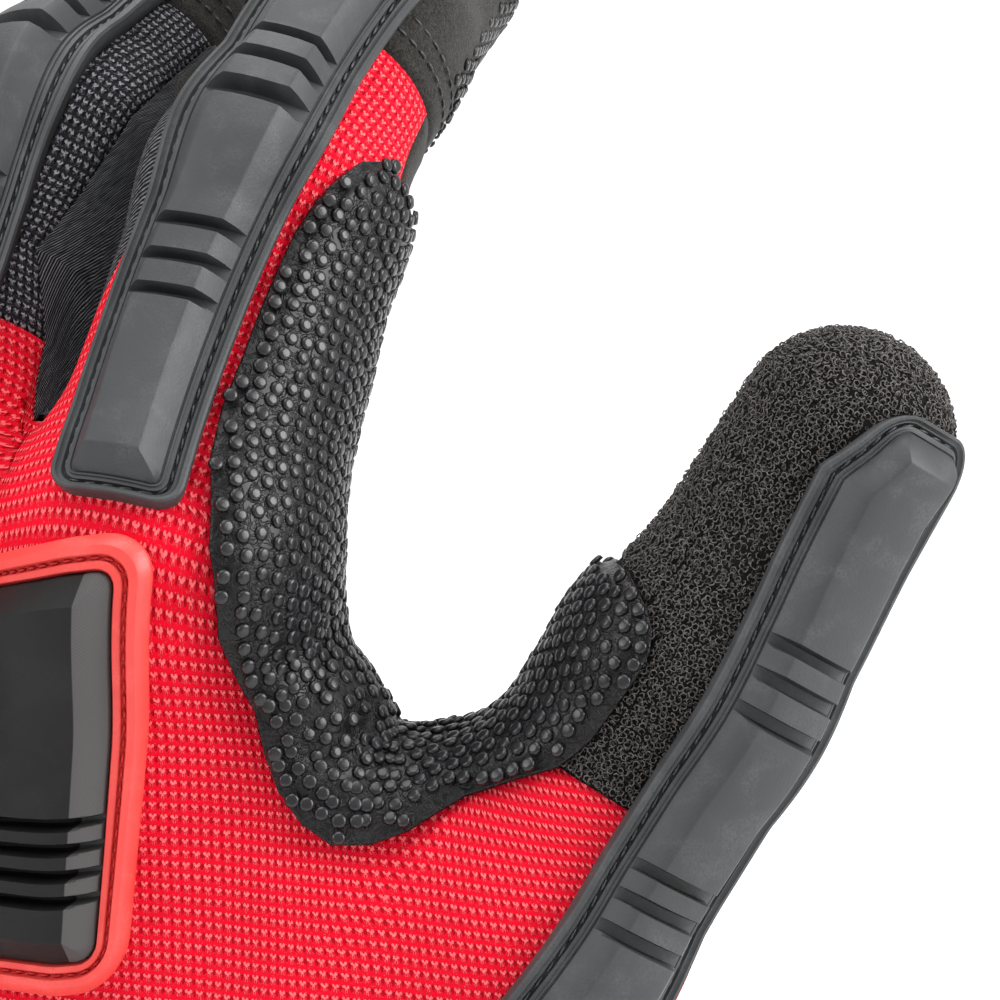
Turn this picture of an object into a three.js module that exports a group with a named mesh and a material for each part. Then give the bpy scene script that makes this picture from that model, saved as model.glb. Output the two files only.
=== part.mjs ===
// Impact glove for the left hand, fingers half bent and thumb spread.
// Millimetres. +Z runs along the hand from the cuff to the fingers, +X points to the thumb side,
// the back of the hand faces -Y. The origin lies in the plane of the cuff opening.
import * as THREE from "three";

// Driving dimensions
const GAP = 0.3;
const FABRIC = 1.5;
const SUEDE = 1.3;
const STRETCH = 1.0;
const TERRY = 2.0;
const OVER = 0.5;
const PATCH_LOW = 0.8;
const PATCH_LIFT = 1.9;
const PATCH_THICK = 1.2;
const CUFF_TOP = 55;
const BINDING_WIDTH = 7;
const SEAM_BACK = 60;
const SEAM_MID = 80;
const SEAM_SIDE = 100;
const TERRY_SEAM = 68;
const DEG = Math.PI / 180;

// Fingers: knuckle (x, y, z), bone lengths, bend of each bone, sideways lean, radii at the four
// joints, how much narrower than deep, station of the root ring, station of the cap seam
const FINGERS = [
  { name: "little", at: [-52, 5, 131], bones: [36, 21, 18], bend: [42, 72, 90], lean: -4,
    r: [12.4, 11.6, 11.0, 10.0], slim: 1.2, root: 19, cap: 52 },
  { name: "ring", at: [-29, 0, 142], bones: [46, 29, 21], bend: [40, 72, 90], lean: -1,
    r: [13.6, 13.0, 12.2, 11.0], slim: 1.22, root: 20, cap: 66 },
  { name: "middle", at: [-4, -2, 149], bones: [50, 31, 21], bend: [37, 66, 84], lean: 0,
    r: [14.6, 13.8, 12.8, 11.4], slim: 1.16, root: 20, cap: 70 },
  { name: "index", at: [25, 0, 145], bones: [46, 27, 20], bend: [30, 49, 64], lean: 1.5,
    r: [16.6, 15.0, 13.2, 11.4], slim: 1.04, root: 22, cap: 64 },
];

const [LITTLE, RING, MIDDLE, INDEX] = FINGERS;

// Thumb: joints and radii
const THUMB = { at: [[34, 8, 66], [65.5, 17, 102], [80.5, 25, 131], [94.8, 34, 159]],
  r: [16.5, 14.8, 13.6, 12.6], side: [0.75, 0.3, -0.6] };

// Hand and wrist: tapered round bars (x, y, z to x, y, z, radius at each end)
const HAND = [
  [15, 3, 56, ...INDEX.at, 16, 15.5],
  [3, 1, 56, ...MIDDLE.at, 17, 14.5],
  [-9, 2, 56, ...RING.at, 17, 13.6],
  [-19, 5, 56, ...LITTLE.at, 15, 12.4],
  [-20, 14, 62, -42, 13, 112, 13, 12],
  [20, 12, 62, 44, 15, 98, 16, 13],
  [-15, 6, -30, -13, 5, 60, 18.5, 19.5],
  [0, 6, -30, 0, 5, 60, 20.5, 20.5],
  [15, 6, -30, 13, 5, 60, 18.5, 19.5],
];

// Web between the thumb and the index finger
const WEB = [
  [38, 5, 95, 38.5, 5, 124, 13, 8.5],
  [44, 8, 109, 63, 17, 113, 9, 9],
];
const WEB_DEPTH = 16;
const WEB_HALF = 48;
const KNEE = { y: -4, z: -16 };
const BLEND = { hand: 9, joint: 4, root: 8, thumb: 14, web: 12, thumbJoint: 8 };

const V = (p) => new THREE.Vector3(p[0], p[1], p[2]);

function barDistance(p, a, b, ra, rb, side, slim) {
  const ab = b.clone().sub(a);
  const t = Math.min(1, Math.max(0, p.clone().sub(a).dot(ab) / ab.lengthSq()));
  const off = p.clone().sub(a).addScaledVector(ab, -t);
  if (side) off.addScaledVector(side, (slim - 1) * off.dot(side));
  return off.length() - (ra + (rb - ra) * t);
}

function blend(a, b, k) {
  const h = Math.max(k - Math.abs(a - b), 0) / k;
  return Math.min(a, b) - h * h * k / 4;
}

// Joints of a finger and its frame
for (const f of FINGERS) {
  f.side = new THREE.Vector3(Math.cos(f.lean * DEG), 0, -Math.sin(f.lean * DEG));
  f.pts = [V(f.at)];
  f.bones.forEach((length, i) => {
    const bend = f.bend[i] * DEG;
    const lean = f.lean * DEG;
    const dir = new THREE.Vector3(Math.sin(lean) * Math.cos(bend), Math.sin(bend),
      Math.cos(lean) * Math.cos(bend));
    f.pts.push(f.pts[i].clone().addScaledVector(dir, length));
  });
}
const THUMB_AXIS = { name: "thumb", pts: THUMB.at.map(V), r: THUMB.r, side: V(THUMB.side).normalize() };
const BARS = HAND.map((h) => [V(h.slice(0, 3)), V(h.slice(3, 6)), h[6], h[7]]);
const WEB_BARS = WEB.map((h) => [V(h.slice(0, 3)), V(h.slice(3, 6)), h[6], h[7]]);

// Distance to the outer face of the fabric: negative inside
function form(p) {
  let body = Infinity;
  for (const [a, b, ra, rb] of BARS) {
    const d = barDistance(p, a, b, ra, rb);
    body = body === Infinity ? d : blend(body, d, BLEND.hand);
  }
  for (const [a, b, ra, rb] of WEB_BARS) body = blend(body, barDistance(p, a, b, ra, rb), BLEND.web);
  let fingers = Infinity;
  for (const f of FINGERS) {
    let one = Infinity;
    for (let i = 0; i < 3; i++) {
      const d = barDistance(p, f.pts[i], f.pts[i + 1], f.r[i], f.r[i + 1], f.side, f.slim);
      one = one === Infinity ? d : blend(one, d, BLEND.joint);
    }
    fingers = Math.min(fingers, one);
  }
  let thumb = Infinity;
  for (let i = 0; i < 3; i++) {
    const d = barDistance(p, THUMB_AXIS.pts[i], THUMB_AXIS.pts[i + 1], THUMB.r[i], THUMB.r[i + 1]);
    thumb = thumb === Infinity ? d : blend(thumb, d, BLEND.thumbJoint);
  }
  return blend(blend(body, fingers, BLEND.root), thumb, BLEND.thumb);
}

function slope(p) {
  const h = 0.05;
  const g = new THREE.Vector3();
  for (const axis of ["x", "y", "z"]) {
    const q = p.clone();
    q[axis] += h;
    const up = form(q);
    q[axis] -= 2 * h;
    g[axis] = (up - form(q)) / (2 * h);
  }
  return g;
}
const normalAt = (p) => slope(p).normalize();

// A guess is moved onto the form along the slope
function press(p) {
  const q = p.clone();
  for (let i = 0; i < 12; i++) {
    const g = slope(q);
    q.addScaledVector(g, -0.9 * form(q) / Math.max(g.lengthSq(), 0.05));
  }
  return q;
}

// From a point inside, outwards to the form
function cast(core, dir) {
  const d = dir.clone().normalize();
  const at = (t) => core.clone().addScaledVector(d, t);
  let t = 0;
  let f = form(at(t));
  let last = 0;
  while (f < 0 && t < 90) {
    last = t;
    t += Math.max(-0.4 * f, 0.12);
    f = form(at(t));
  }
  for (let i = 0; i < 16; i++) {
    const middle = (last + t) / 2;
    if (form(at(middle)) < 0) last = middle;
    else t = middle;
  }
  return at(t);
}

// Station on a finger axis: place, direction, side and back directions
function station(f, s) {
  const lengths = f.pts.slice(1).map((q, i) => q.distanceTo(f.pts[i]));
  const dirs = f.pts.slice(1).map((q, i) => q.clone().sub(f.pts[i]).normalize());
  const starts = [0, lengths[0], lengths[0] + lengths[1]];
  const total = starts[2] + lengths[2];
  const t = Math.min(s, total);
  const i = t < starts[1] ? 0 : t < starts[2] ? 1 : 2;
  const at = f.pts[i].clone().addScaledVector(dirs[i], t - starts[i]);
  const dir = dirs[0].clone();
  for (const j of [1, 2]) {
    let w = Math.min(1, Math.max(0, (t - starts[j] + 9) / 18));
    w = w * w * (3 - 2 * w);
    dir.lerp(dirs[j], w);
  }
  dir.normalize();
  const side = f.side.clone().addScaledVector(dir, -f.side.dot(dir)).normalize();
  const back = new THREE.Vector3().crossVectors(side, dir);
  const tilt = Math.max(0, s - total) / f.r[3];
  return { at, dir, side, back, total, tilt };
}

// Point of the form at a station and an angle from the back towards the thumb side
function onFinger(f, s, angle) {
  const k = station(f, s);
  const ring = k.back.clone().multiplyScalar(Math.cos(angle * DEG)).addScaledVector(k.side, Math.sin(angle * DEG));
  return cast(k.at, ring.multiplyScalar(Math.cos(k.tilt)).addScaledVector(k.dir, Math.sin(k.tilt)));
}
const tipStation = (f) => station(f, 0).total + f.r[3] * Math.PI / 2;

// Ring of the wrist at a height, angle from the back towards the thumb side
function onWrist(z, angle) {
  const dir = new THREE.Vector3(1.6 * Math.sin(angle * DEG), -Math.cos(angle * DEG), 0);
  return cast(new THREE.Vector3(0, 5, z), dir);
}

const spread = (a, b, n) => Array.from({ length: n + 1 }, (_, i) => a + (b - a) * i / n);

// A sheet: grids of points on the form, welded, then given thickness
class Sheet {
  constructor() {
    this.points = [];
    this.faces = [];
    this.known = new Map();
  }
  index(p) {
    const key = [p.x, p.y, p.z].map((c) => Math.round(c * 50)).join(",");
    if (!this.known.has(key)) {
      this.known.set(key, this.points.length);
      this.points.push(p);
    }
    return this.known.get(key);
  }
  grid(rows) {
    const ids = rows.map((row) => row.map((p) => this.index(p)));
    const faces = [];
    for (let i = 0; i + 1 < ids.length; i++) {
      for (let j = 0; j + 1 < ids[i].length; j++) {
        const [a, b, c, d] = [ids[i][j], ids[i][j + 1], ids[i + 1][j + 1], ids[i + 1][j]];
        const ac = this.points[a].distanceTo(this.points[c]);
        const bd = this.points[b].distanceTo(this.points[d]);
        if (ac <= bd) faces.push([a, b, c], [a, c, d]);
        else faces.push([a, b, d], [b, c, d]);
      }
    }
    let facing = 0;
    for (const [a, b, c] of faces) {
      const [p, q, r] = [this.points[a], this.points[b], this.points[c]];
      const area = new THREE.Vector3().crossVectors(q.clone().sub(p), r.clone().sub(p));
      facing += area.dot(normalAt(p.clone().add(q).add(r).divideScalar(3)));
    }
    for (const [a, b, c] of faces) {
      if (a !== b && b !== c && c !== a) this.faces.push(facing > 0 ? [a, b, c] : [a, c, b]);
    }
    return this;
  }
  // Thickness from a lower to an upper height over the form; open edges draw in by half a gap
  solid(low, high, draw = GAP / 2) {
    const edges = new Map();
    for (const [a, b, c] of this.faces) {
      for (const [p, q] of [[a, b], [b, c], [c, a]]) edges.set(p + "_" + q, [p, q]);
    }
    const rim = [...edges.values()].filter(([p, q]) => !edges.has(q + "_" + p));
    const normals = this.points.map(normalAt);
    const inward = this.points.map(() => new THREE.Vector3());
    for (const [p, q] of rim) {
      const along = this.points[q].clone().sub(this.points[p]).normalize();
      for (const k of [p, q]) inward[k].add(new THREE.Vector3().crossVectors(normals[k], along));
    }
    const base = this.points.map((p, k) => {
      const sum = inward[k].length();
      if (sum < 1e-3) return p.clone();
      return p.clone().addScaledVector(inward[k].normalize(), draw * Math.min(2 / sum, 2.2));
    });
    const heightOf = (h, k) => (typeof h === "function" ? h(k) : h);
    const top = base.map((p, k) => p.clone().addScaledVector(normals[k], heightOf(high, k)));
    const under = base.map((p, k) => p.clone().addScaledVector(normals[k], heightOf(low, k)));
    const n = top.length;
    const flat = [...top, ...under].flatMap((p) => [p.x, p.y, p.z]);
    const index = [];
    for (const [a, b, c] of this.faces) index.push(a, b, c, n + a, n + c, n + b);
    for (const [p, q] of rim) index.push(p, n + p, n + q, p, n + q, q);
    const geometry = new THREE.BufferGeometry();
    geometry.setAttribute("position", new THREE.Float32BufferAttribute(flat, 3));
    geometry.setIndex(index);
    return geometry;
  }
}

const glove = new THREE.Group();
glove.name = "impact_glove";

function add(name, geometry, color, roughness) {
  geometry.computeVertexNormals();
  const material = new THREE.MeshStandardMaterial({ color, roughness, metalness: 0 });
  const mesh = new THREE.Mesh(geometry, material);
  mesh.name = name;
  glove.add(mesh);
}

const BACK_ANGLES = spread(-SEAM_BACK, SEAM_BACK, 4);
const PALM_ANGLES = spread(180 - SEAM_BACK, 180 + SEAM_BACK, 4);

// Row over the web between two fingers: a core below the slit, looking out between them
function webRow(near, far) {
  const a = station(near, near.root - WEB_DEPTH);
  const b = station(far, far.root - WEB_DEPTH);
  const wide = (f) => (f.r[0] + f.r[1]) / 2 / f.slim;
  return {
    at: a.at.clone().lerp(b.at, wide(near) / (wide(near) + wide(far))),
    main: a.dir.clone().add(b.dir).normalize(),
    back: a.back.clone().add(b.back).normalize(),
  };
}
function onRow(row, angle) {
  const dir = row.main.clone().multiplyScalar(Math.cos(angle * DEG)).addScaledVector(row.back, Math.sin(angle * DEG));
  return cast(row.at, dir);
}
const WEBS = [webRow(RING, LITTLE), webRow(MIDDLE, RING), webRow(INDEX, MIDDLE)];

// Top rows of the hand sheets, from the little finger side to the thumb side
function topRow(sign) {
  const row = [];
  const angles = sign > 0 ? BACK_ANGLES : [...PALM_ANGLES].reverse();
  const edge = sign > 0 ? -SEAM_SIDE : -SEAM_SIDE + 360;
  row.push(onFinger(LITTLE, LITTLE.root, edge));
  FINGERS.forEach((f, i) => {
    for (const angle of angles) row.push(onFinger(f, f.root, angle));
    if (i < 3) row.push(onRow(WEBS[i], sign * WEB_HALF));
  });
  if (sign > 0) row.push(onFinger(INDEX, INDEX.root, SEAM_MID));
  row.push(onFinger(INDEX, INDEX.root, SEAM_SIDE));
  return row;
}

// Path round the fork between index finger and thumb: cores inside, main direction to the opening,
// and the angles at which the dotted patch ends towards the back and towards the palm
const thumbRow = (s, back, palm) => {
  const k = station(THUMB_AXIS, s);
  return { at: k.at, main: k.side.clone().negate(), back: k.back, top: back, under: palm };
};
const indexRow = (s, back, palm) => {
  const k = station(INDEX, s);
  return { at: k.at, main: k.side, back: k.back, top: back, under: palm };
};
const FORK = [
  indexRow(50.8, 7, -34),
  indexRow(47.5, 24, -44),
  indexRow(41, 38, -50),
  indexRow(32, 45, -52),
  indexRow(20, 49, -52),
  indexRow(7, 50.5, -52),
  { at: V([30, 2, 138]), main: V([1, 0.1, 0.05]), back: V([0, -1, 0]), top: 62, under: -55 },
  { at: V([34, 4, 127]), main: V([1, 0.2, 0.35]), back: V([0, -1, 0]), top: 66, under: -60 },
  { at: V([40, 6, 117]), main: V([0.7, 0.2, 0.7]), back: V([0, -1, 0]), top: 79, under: -66 },
  { at: V([48, 10, 110]), main: V([0.25, 0.1, 1]), back: V([0, -1, 0]), top: 78, under: -66, saddle: true },
  { at: V([58, 14, 110]), main: V([-0.2, 0, 1]), back: V([0, -1, 0]), top: 66, under: -60 },
  { at: V([66, 17, 112]), main: V([-0.6, 0.1, 0.8]), back: V([0.15, -1, 0]), top: 62, under: -56 },
  thumbRow(68, 57, -50),
  thumbRow(77, 66, -46),
  thumbRow(84, 67, -40),
  thumbRow(87.6, 55, -30),
  thumbRow(89.8, 32, -16),
];
for (const row of FORK) {
  row.main.normalize();
  row.back.addScaledVector(row.main, -row.back.dot(row.main)).normalize();
}
const RIDGE = FORK.map((row) => onRow(row, 0));
const SADDLE = FORK.findIndex((row) => row.saddle);

// The back or the palm of the hand: a grid up to the fingers and a grid to the root of the thumb
function handSheet(sheet, sign) {
  const top = topRow(sign);
  const n = top.length;
  const widths = top.map((p, j) => (j ? p.distanceTo(top[j - 1]) : 0));
  const run = widths.map(((sum) => (w) => (sum += w))(0));
  const shares = [0, 0.16, 0.32, 0.46, 0.58, 0.68, 0.76, 0.84, 0.92, 1];
  const lower = 5;
  const wristAngle = (share) => (sign > 0 ? -SEAM_SIDE + 150 * share : 360 - SEAM_SIDE - 110 * share);
  const bow = (v) => new THREE.Vector3(0, (sign > 0 ? -6 : 16) * Math.sin(Math.PI * v), 0);
  const low = top.map((_, j) => onWrist(CUFF_TOP, wristAngle(run[j] / run[n - 1])));
  const right = shares.map((v, i) => {
    if (i === shares.length - 1) return top[n - 1];
    if (i >= lower) return RIDGE[SADDLE - (i - lower)].clone();
    return press(low[n - 1].clone().lerp(RIDGE[SADDLE], i / lower).add(bow(i / lower)));
  });
  right[lower] = RIDGE[SADDLE];
  const rows = shares.map((v, i) => top.map((p, j) => {
    if (i === 0) return low[j];
    if (i === shares.length - 1) return p;
    if (j === n - 1) return right[i];
    const w = run[j] / run[n - 1];
    const knee = new THREE.Vector3(p.x, low[j].y + KNEE.y, p.z + KNEE.z);
    const straight = sign > 0
      ? low[j].clone().lerp(knee, v).lerp(knee.clone().lerp(p, v), v)
      : low[j].clone().lerp(p, v);
    const pull = low[n - 1].clone().lerp(top[n - 1], v);
    const shift = right[i].clone().sub(pull).multiplyScalar(Math.pow(w, 3));
    return press(straight.add(shift));
  }));
  sheet.grid(rows);
  const column = rows.slice(0, lower + 1).map((row) => row[n - 1]);
  const ringAngles = sign > 0 ? spread(-90, SEAM_SIDE, 6) : spread(270, SEAM_SIDE, 6);
  const ring = ringAngles.map((g) => onFinger(THUMB_AXIS, TERRY_SEAM, g));
  const over = [RIDGE[SADDLE], RIDGE[SADDLE + 1], RIDGE[SADDLE + 2], ...ring];
  const m = over.length;
  const first = wristAngle(1);
  const foot = spread(0, 1, m - 1).map((w) => onWrist(CUFF_TOP, first + (SEAM_SIDE - first) * w));
  const outer = spread(0, 1, lower).map((v) => press(foot[m - 1].clone().lerp(over[m - 1], v)));
  const root = spread(0, 1, lower).map((v, i) => over.map((p, j) => {
    if (j === 0) return column[i];
    if (i === 0) return foot[j];
    if (i === lower) return p;
    if (j === m - 1) return outer[i];
    const w = j / (m - 1);
    const g = foot[j].clone().lerp(p, v);
    g.addScaledVector(column[i].clone().sub(foot[0].clone().lerp(over[0], v)), 1 - w);
    g.addScaledVector(outer[i].clone().sub(foot[m - 1].clone().lerp(over[m - 1], v)), w);
    return press(g.addScaledVector(bow(v), Math.sin(Math.PI * w)));
  }));
  sheet.grid(root);
}

// Value that changes along a finger, from rows of station and value
const ramp = (rows) => (s) => {
  for (let i = 1; i < rows.length; i++) {
    if (s <= rows[i][0]) {
      const w = Math.max(0, (s - rows[i - 1][0]) / (rows[i][0] - rows[i - 1][0]));
      return rows[i - 1][1] + (rows[i][1] - rows[i - 1][1]) * w;
    }
  }
  return rows[rows.length - 1][1];
};

// Angles are one row for the whole length, or worked out for each station
const fingerRows = (f, from, to, n, angles) => spread(from, to, n).map((s) => (
  (typeof angles === "function" ? angles(s) : angles).map((g) => onFinger(f, s, g))));

// Cells along a finger between its root and its cap
const fingerCells = (f) => (f === INDEX ? 6 : 5);

// Where the knit of a finger's back ends towards the next finger: on the index finger the stretch
// fabric widens under the strip
const backEdge = (f) => (f === INDEX
  ? ramp([[f.root, -SEAM_BACK], [f.root + 11, -40], [f.root + 19, -16], [f.root + 28, -2], [f.cap, -2]])
  : () => -SEAM_BACK);

// Back panel with the index finger's back, palm panel with the fingers' undersides
const back = new Sheet();
handSheet(back, 1);
back.grid(fingerRows(INDEX, INDEX.root, INDEX.cap, fingerCells(INDEX),
  (s) => [...spread(backEdge(INDEX)(s), SEAM_BACK, 4), SEAM_MID, SEAM_SIDE]));
add("back_panel", back.solid(-FABRIC, 0), 0xe0182c, 0.85);

const palm = new Sheet();
handSheet(palm, -1);
for (const f of FINGERS) {
  const angles = [...PALM_ANGLES];
  if (f === INDEX) angles.unshift(SEAM_SIDE);
  if (f === LITTLE) angles.push(360 - SEAM_SIDE);
  palm.grid(fingerRows(f, f.root, f.cap, fingerCells(f), angles));
}
add("palm_panel", palm.solid(-SUEDE, 0), 0x2b2a28, 0.9);

for (const f of [LITTLE, RING, MIDDLE]) {
  const angles = f === LITTLE ? [-SEAM_SIDE, ...BACK_ANGLES] : BACK_ANGLES;
  const sheet = new Sheet().grid(fingerRows(f, f.root, f.cap, 5, angles));
  add(f.name + "_back", sheet.solid(-FABRIC, 0), 0x3a3b42, 0.9);
}

// Gussets: down one finger, over the web and up the next
[[RING, LITTLE], [MIDDLE, RING], [INDEX, MIDDLE]].forEach(([near, far], i) => {
  const halves = [1, 0.5, 0, -0.5, -1];
  const nearRows = fingerRows(near, near.cap, near.root, fingerCells(near),
    (s) => halves.map((h) => -90 + h * (h > 0 ? 90 + backEdge(near)(s) : 90 - SEAM_BACK)));
  const web = halves.map((h) => onRow(WEBS[i], h * WEB_HALF));
  const farRows = fingerRows(far, far.root, far.cap, 5, halves.map((h) => 90 - h * (90 - SEAM_BACK)));
  const sheet = new Sheet().grid([...nearRows, web, ...farRows]);
  add("gusset_" + near.name + "_" + far.name, sheet.solid(-STRETCH, 0, 0.6), 0x17181b, 0.8);
});

// Caps over the fingertips
const ALL_ROUND = [-SEAM_SIDE, ...BACK_ANGLES, SEAM_SIDE, ...PALM_ANGLES, 360 - SEAM_SIDE];
for (const f of FINGERS) {
  const rows = fingerRows(f, f.cap, tipStation(f), 5, ALL_ROUND);
  add(f.name + "_cap", new Sheet().grid(rows).solid(-SUEDE, 0), 0x2a2826, 0.95);
}

// Terry cloth round the thumb
const terry = new Sheet().grid(fingerRows(THUMB_AXIS, TERRY_SEAM, tipStation(THUMB_AXIS), 8, spread(-90, 270, 14)));
add("thumb_terry", terry.solid(-TERRY, 0), 0x262321, 1.0);

// Dotted patch round the fork
const PATCH_SHARES = [1, 0.66, 0.33, 0, -0.33, -0.66, -1];
function midRow(a, b) {
  const mean = (p, q) => p.clone().add(q).divideScalar(2);
  return { at: mean(a.at, b.at), main: mean(a.main, b.main).normalize(), back: mean(a.back, b.back).normalize(),
    top: (a.top + b.top) / 2, under: (a.under + b.under) / 2 };
}
const patchPath = FORK.flatMap((row, i) => (i && i < 14 ? [midRow(FORK[i - 1], row), row] : [row]));
const patch = new Sheet();
const lifts = new Map();
patch.grid(patchPath.map((row, i) => PATCH_SHARES.map((h) => {
  const p = onRow(row, h > 0 ? h * row.top : -h * row.under);
  lifts.set(patch.index(p), PATCH_LOW + PATCH_LIFT * Math.exp(-Math.pow((i - 15) / 6, 2)));
  return p;
})));
add("crotch_patch", patch.solid((k) => lifts.get(k), (k) => lifts.get(k) + PATCH_THICK), 0x1c1d1e, 0.45);

// Cuff and its bound edge
const wristRows = (from, to, n) => spread(from, to, n).map((z) => spread(0, 360, 20).map((g) => onWrist(z, g)));
add("cuff", new Sheet().grid(wristRows(0, CUFF_TOP, 3)).solid(-FABRIC, 0), 0x1d1d20, 0.9);
add("cuff_binding", new Sheet().grid(wristRows(0, BINDING_WIDTH, 1)).solid(OVER, OVER + 1.1), 0x141415, 0.7);

// Moulded strips: raised blocks on a flange with a rolled lip and a sewing groove
// Across: share of the half width and kind of height
const STRIP_ACROSS = [
  [-1, "edge"], [-0.86, "lip"], [-0.66, "foot"], [-0.4, "block"],
  [0.4, "block"], [0.66, "foot"], [0.86, "lip"], [1, "edge"],
];
const STRIP = { bottom: 0.8, edge: 1.7, lip: 2.2, foot: 1.8, block: 4.6, cut: 2.6, step: 4.2, longest: 6.5 };

// Stations along a strip from its start: station, share of the width, kind; a group is three cuts
function stripStations(from, to, groups) {
  const list = [[from, 0.72, "end"], [from + 1.4, 0.95, "end"], [from + 3.4, 1, "end"], [from + 6.4, 1, "block"]];
  for (const g of groups) {
    for (let k = 0; k < 3; k++) {
      const at = g + k * STRIP.step;
      list.push([at - 1.1, 1, "block"], [at, 1, "cut"], [at + 1.1, 1, "block"]);
    }
  }
  list.push([to - 6.4, 1, "block"], [to - 3.4, 1, "end"], [to - 1.4, 0.95, "end"], [to, 0.72, "end"]);
  return list.flatMap((row, i) => {
    if (!i) return [row];
    const before = list[i - 1][0];
    const parts = Math.ceil((row[0] - before) / STRIP.longest);
    return spread(before, row[0], parts).slice(1).map((s, k) => (k === parts - 1 ? row : [s, 1, "block"]));
  });
}
function strip(name, f, centre, half, from, to, groups, lift = 0) {
  const stations = stripStations(from, to, groups);
  const sheet = new Sheet();
  const heights = new Map();
  const rows = stations.map(([s, width, kind], i) => STRIP_ACROSS.map(([share, level]) => {
    const p = onFinger(f, s, centre(s) + share * width * half / f.r[1] / DEG);
    let h = STRIP[level];
    if (level === "block") h = kind === "block" ? STRIP.block : kind === "cut" ? STRIP.cut : STRIP.foot;
    if (i === 0 || i === stations.length - 1) h = STRIP.edge;
    heights.set(sheet.index(p), h);
    return p;
  }));
  sheet.grid(rows);
  add(name, sheet.solid(STRIP.bottom + lift, (k) => heights.get(k) + lift), 0x505356, 0.6);
}
strip("index_strip", INDEX, ramp([[0, 11], [15, 6.5], [32, 9.5], [41, 13.5], [50, 16.5], [80, 17]]), 7.6, 0, 84, [24.5, 47.2]);
strip("middle_strip", MIDDLE, ramp([[0, 0], [28, -3], [50, -9], [90, -9]]), 7.4, 4, 92, [27, 52]);
strip("ring_strip", RING, () => 0, 6.8, 6, 86, [29, 52], 0.7);
strip("little_strip", LITTLE, () => 0, 6.2, 7, 66, [20, 40]);
strip("thumb_strip", THUMB_AXIS, ramp([[10, 30], [50, 30], [68, 34], [88, 36], [124, 30]]), 7.8, 16, 120, [55.7, 83.7], 0.3);

// Knuckle guard: a flange round a raised block, waisted towards the middle of the hand and
// leaning with the row of knuckles
const GUARD = { x: -6, half: 40, top: 150, low: 98, dip: 3.5, rise: 5, lean: 0.16, taper: 6, corner: 6,
  bottom: 1.2, edge: 2.0, lip: 2.6, bed: 2.0, block: 5.2, inner: 4.4 };
function guardPoint(p, q, inset) {
  const x = GUARD.x + (GUARD.half - inset - GUARD.taper * (1 - q) / 2) * p;
  const waist = 1 - Math.min(1, Math.abs(p) * 1.3);
  const high = GUARD.top - GUARD.dip * waist - inset;
  const low = GUARD.low + GUARD.rise * waist + inset;
  const z = (high + low) / 2 + q * (high - low) / 2 + GUARD.lean * (x - GUARD.x - GUARD.half);
  return cast(new THREE.Vector3(x * 0.94, 2, z), new THREE.Vector3(0.06 * x / 14, -1, 0));
}
// A square of shares bent to a rounded outline
function rounded(p, q) {
  const m = Math.max(Math.abs(p), Math.abs(q));
  if (m === 0) return [0, 0];
  const n = GUARD.corner;
  const k = m / Math.pow(Math.pow(Math.abs(p), n) + Math.pow(Math.abs(q), n), 1 / n);
  return [p * k, q * k];
}
const SIDE_P = [-1, -0.97, -0.88, -0.73, -0.56, -0.38, -0.19, 0, 0.19, 0.38, 0.56, 0.73, 0.88, 0.97];
const SIDE_Q = [-1, -0.94, -0.8, -0.45, 0, 0.45, 0.8, 0.94];
const LOOP = [
  ...SIDE_P.map((p) => [p, -1]),
  ...SIDE_Q.map((q) => [1, q]),
  ...SIDE_P.map((p) => [-p, 1]),
  ...SIDE_Q.map((q) => [-1, -q]),
];
const flange = new Sheet();
const flangeHeights = new Map();
const flangeRows = [[0, "edge"], [0.9, "lip"], [2.6, "bed"], [GUARD.inner, "bed"]].map(([inset, level]) => {
  const row = LOOP.map(([p, q]) => {
    const at = guardPoint(...rounded(p, q), inset);
    flangeHeights.set(flange.index(at), GUARD[level]);
    return at;
  });
  return [...row, row[0]];
});
flange.grid(flangeRows);
add("guard_flange", flange.solid(GUARD.bottom, (k) => flangeHeights.get(k)), 0xf04438, 0.5);

// The block: sloped rim, flat top, three thin ribs between four cuts near its lower end
const RIBS = [-0.62, -0.52, -0.42, -0.32];
const BLOCK_Q = [-1, -0.86, ...RIBS.flatMap((q) => [q - 0.025, q, q + 0.025]), -0.1, 0.25, 0.55, 0.8, 1];
const BLOCK_P = [-1, -0.82, -0.62, -0.42, -0.21, 0, 0.21, 0.42, 0.62, 0.82, 1];
const block = new Sheet();
const blockHeights = new Map();
block.grid(BLOCK_Q.map((q) => BLOCK_P.map((p) => {
  const at = guardPoint(...rounded(p, q), GUARD.inner + GAP);
  const rim = Math.abs(p) === 1 || Math.abs(q) === 1;
  const cut = RIBS.includes(q);
  blockHeights.set(block.index(at), rim ? GUARD.lip : cut ? GUARD.bed + 1 : GUARD.block);
  return at;
})));
add("guard_block", block.solid(GUARD.bottom, (k) => blockHeights.get(k)), 0x2c2d2e, 0.55);

export default glove;
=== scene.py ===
# %% [markdown]
# # Impact glove
# A left-hand work glove, fingers half bent and thumb spread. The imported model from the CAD
# program is the frame: every sewn or moulded piece here stands for one of its solids, sits on
# the same form and carries the finish. All shapes are worked out in millimetres on whole numpy
# arrays and are turned into metres when a mesh is made.

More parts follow.
